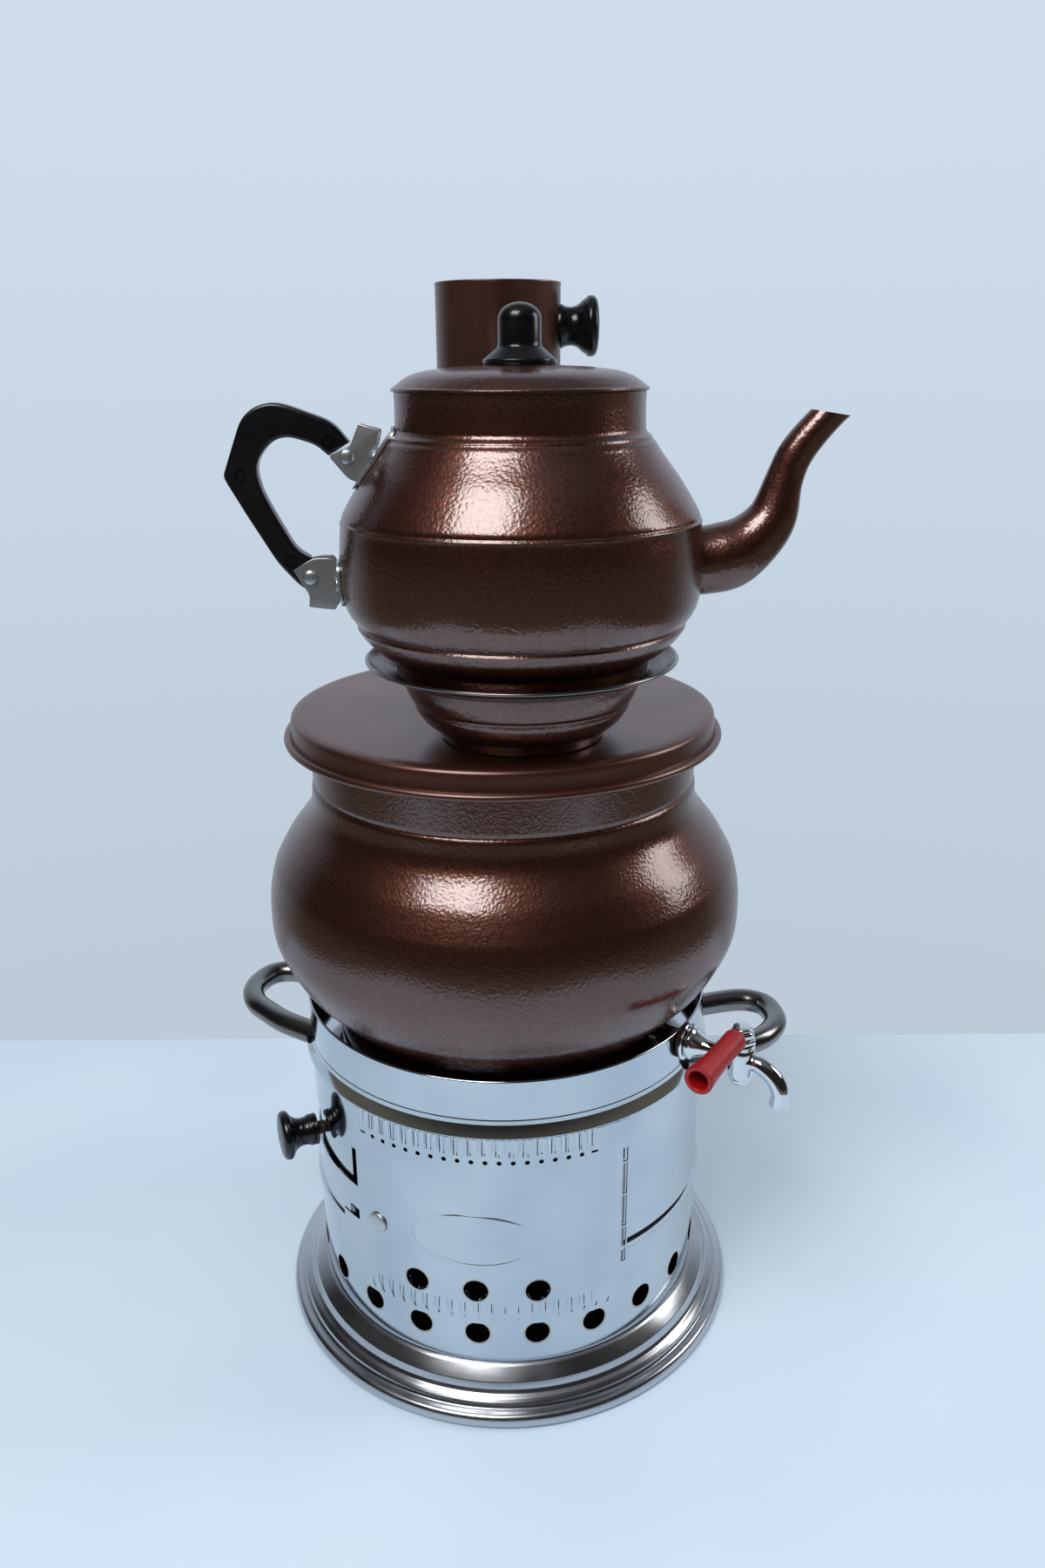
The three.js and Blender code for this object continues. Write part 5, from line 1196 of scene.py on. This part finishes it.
# %% Gland nut, lever, cap and red grip
LEVER = 15.1
nut = revolve(rounded([
    (3.1, 9.5, 0.2), (6.4, 9.5, 0.3), (7.2, 10.1, 0.3), (7.2, 11.9, 0.3), (6.4, 12.5, 0.3), (3.1, 12.5),
]), 6)
add_piece(nut, "six_sided_gland_nut", "boiler", tap_chrome, "tap_gland_nut", moved=on_valve, edge_angle=30)
hub = revolve(rounded([
    (3.1, 12.8), (5.2, 12.8, 0.3), (5.8, 13.6, 0.6), (5.8, 15.6, 0.6), (5.2, 16.4, 0.4), (3.1, 16.4),
]), 40)
rod = sweep([(0, -4, LEVER), (0, -12, LEVER), (0, -35, LEVER)], [2.5, 2.4, 2.4], 24, up=Vector((0, 0, 1)))
add_piece(joined_to(hub, rod), "tap_lever_rod", "tap_valve", tap_chrome, "tap_lever", moved=on_valve)
cap = revolve(rounded([(0, 16.7), (4.6, 16.7, 0.3), (5, 17.4, 0.5), (4.7, 18.4, 0.9), (0, 19.1)]), 40)
add_piece(cap, "tap_cap_domed", "tap_valve", tap_chrome, "tap_cap", moved=on_valve)
sleeve = rounded([
    (2.8, 8.4), (5.2, 8.4, 0.6), (5.9, 9.2, 0.6), (5.8, 12), (5.5, 24, 6), (6.2, 41, 8), (7.2, 50.2, 0.8),
    (6.9, 51, 0.5), (5.1, 51, 0.5), (4.7, 50.2, 0.6), (4.6, 35.6), (2.8, 35.4),
])
on_lever = on_valve @ Matrix.Translation((0, 0, LEVER)) @ ABOUT_Y
add_piece(revolve(sleeve, 56), "red_tap_grip", "tap_valve", red_plastic, "tap_grip", moved=on_lever)

# %% [markdown]
# ## Nodes that keep their CAD shape
# Grate, rails, seals, the back nut, the plug and the screws are plain or hidden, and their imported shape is
# right. They only need their real finish.

# %% Finishes of the kept nodes
kept_nodes = {
    "charcoal_grate": iron, "shutter_rail_upper": chrome, "shutter_rail_lower": chrome, "shutter_screw": iron,
    "chimney_screw": iron, "lid_knob_screw": iron, "tap_inner_seal": rubber, "tap_outer_seal": rubber,
    "tap_back_nut": tap_chrome, "tap_plug": tap_chrome,
}
for name, finish in kept_nodes.items():
    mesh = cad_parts[name].data
    mesh.materials.clear()
    mesh.materials.append(finish.material)
print("kept nodes:", sorted(kept_nodes))

# %% [markdown]
# ## Floor, light and camera
# The photograph shows a pale table in front of a pale wall. The table ends where the wall begins, and the
# world gives the wall's colour to the camera and to mirrors. Mirrors also see a dark room in front, a
# little lighter just under its horizon, and a grey ceiling: the dark room is what keeps the paint brown.
# A soft lamp stands high above the camera and a smaller one on the right.

# %% Camera from the photograph's viewpoint
HEADING, PITCH, ROLL = math.radians(-8.05), math.radians(19.57), math.radians(-0.39)
CAMERA_AT, LENS, SENSOR = (0.0930, -0.5872, 0.5167), 27.42, 36
forward = Vector((math.sin(HEADING), math.cos(HEADING), 0))
look = forward * math.cos(PITCH) - Vector((0, 0, math.sin(PITCH)))
right = look.cross(Vector((0, 0, 1))).normalized()
up = right.cross(look)
right, up = right * math.cos(ROLL) + up * math.sin(ROLL), up * math.cos(ROLL) - right * math.sin(ROLL)
camera = bpy.data.objects.new("camera", bpy.data.cameras.new("camera"))
bpy.context.scene.collection.objects.link(camera)
axes = Matrix((right, up, -look)).transposed().to_4x4()
camera.matrix_world = Matrix.Translation(CAMERA_AT) @ axes
camera.data.lens, camera.data.sensor_width = LENS, SENSOR
bpy.context.scene.camera = camera
print("camera at", CAMERA_AT, "with a lens of", LENS, "mm")

# %% Table top
table = Finish("pale_table_top", "")
place = table.place()
grain = table.noise(place, 6.0, 3.0)
clouds = table.noise(place, 260.0, 2.0)
pale = table.mixed(table.spread(clouds, 0.35, 0.7), tint(223, 238, 252), tint(213, 230, 248))
table.surface(Base_Color=pale, Roughness=0.55, Normal=table.bump(grain, 0.02))
WALL_DISTANCE, TABLE_FRONT, TABLE_HALF = 252.0, -660.0, 640.0
across = Vector((forward.y, -forward.x, 0))
edge = rounded([(TABLE_FRONT, -30), (TABLE_FRONT, 0, 6), (WALL_DISTANCE, 0, 6), (WALL_DISTANCE, -30)], 6)
top = bmesh.new()
rows = []
for x in (-TABLE_HALF, TABLE_HALF):
    rows.append([top.verts.new(forward * y + across * x + Vector((0, 0, z))) for y, z in edge])
for k in range(len(edge) - 1):
    top.faces.new((rows[0][k], rows[0][k + 1], rows[1][k + 1], rows[1][k]))
floor = new_object(top, "table_top")
floor.data.materials.append(table.material)
floor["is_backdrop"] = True

# %% World: the wall's colour, and a darker room in front
world = bpy.data.worlds.new("studio")
bpy.context.scene.world = world
world.use_nodes = True
sky = Nodes(world.node_tree)
way = sky.node("ShaderNodeTexCoord", out="Generated")
dot = {"operation": "DOT_PRODUCT"}
towards_front = sky.node("ShaderNodeVectorMath", dot, {0: way, 1: tuple(-forward)}, "Value")
rise = sky.node("ShaderNodeSeparateXYZ", None, {0: way}, "Z")
# Painted light and shade: the plain wall is painted lighter towards the top.
wall = sky.mixed(sky.spread(rise, -0.45, 0.15), tint(188, 203, 215), tint(207, 219, 235))
in_front = sky.mixed(sky.spread(rise, -0.17, -0.05), tint(102, 96, 85), tint(36, 33, 34))
room = sky.mixed(sky.spread(towards_front, -0.8, -0.3), wall, in_front)
room = sky.mixed(sky.spread(rise, 0.72, 0.95), room, tint(112, 114, 120))
camera_ray, glossy_ray, clear_ray = [
    sky.node("ShaderNodeLightPath", out=f"Is {kind} Ray") for kind in ("Camera", "Glossy", "Transmission")
]
seen = sky.mixed(camera_ray, room, wall)
shown = sky.node("ShaderNodeBackground", None, {"Color": seen, "Strength": 1.0})
light = sky.node("ShaderNodeBackground", None, {"Color": (0.90, 0.96, 1.0, 1.0), "Strength": 0.48})
both = sky.node("ShaderNodeMixShader", None, {0: camera_ray + glossy_ray + clear_ray, 1: light, 2: shown})
sky.tree.links.new(both.socket, sky.tree.nodes.new("ShaderNodeOutputWorld").inputs["Surface"])


# %% Soft lamps
def soft_lamp(name, azimuth, elevation, distance, width, height, power):
    """A rectangle of light that looks at the middle of the object."""
    lamp = bpy.data.lights.new(name, "AREA")
    lamp.shape, lamp.size, lamp.size_y, lamp.energy = "RECTANGLE", width, height, power
    stand = bpy.data.objects.new(name, lamp)
    bpy.context.scene.collection.objects.link(stand)
    a, e = math.radians(azimuth), math.radians(elevation)
    out = Vector((math.sin(a) * math.cos(e), -math.cos(a) * math.cos(e), math.sin(e)))
    stand.location = Vector((0, 0, 0.3)) + out * distance
    stand.rotation_mode = "QUATERNION"
    stand.rotation_quaternion = (-out).to_track_quat("-Z", "Y")
    return stand


soft_lamp("front_softbox", -22, 54, 1.7, 0.85, 0.75, 18.5)
soft_lamp("right_softbox", 104, 26, 1.6, 0.5, 0.8, 6)
bpy.context.scene.view_settings.view_transform = "Standard"

# %% Sizes, and the end
low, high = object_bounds()
print("visual box in metres:", [round(v, 4) for v in (*low, *high)])
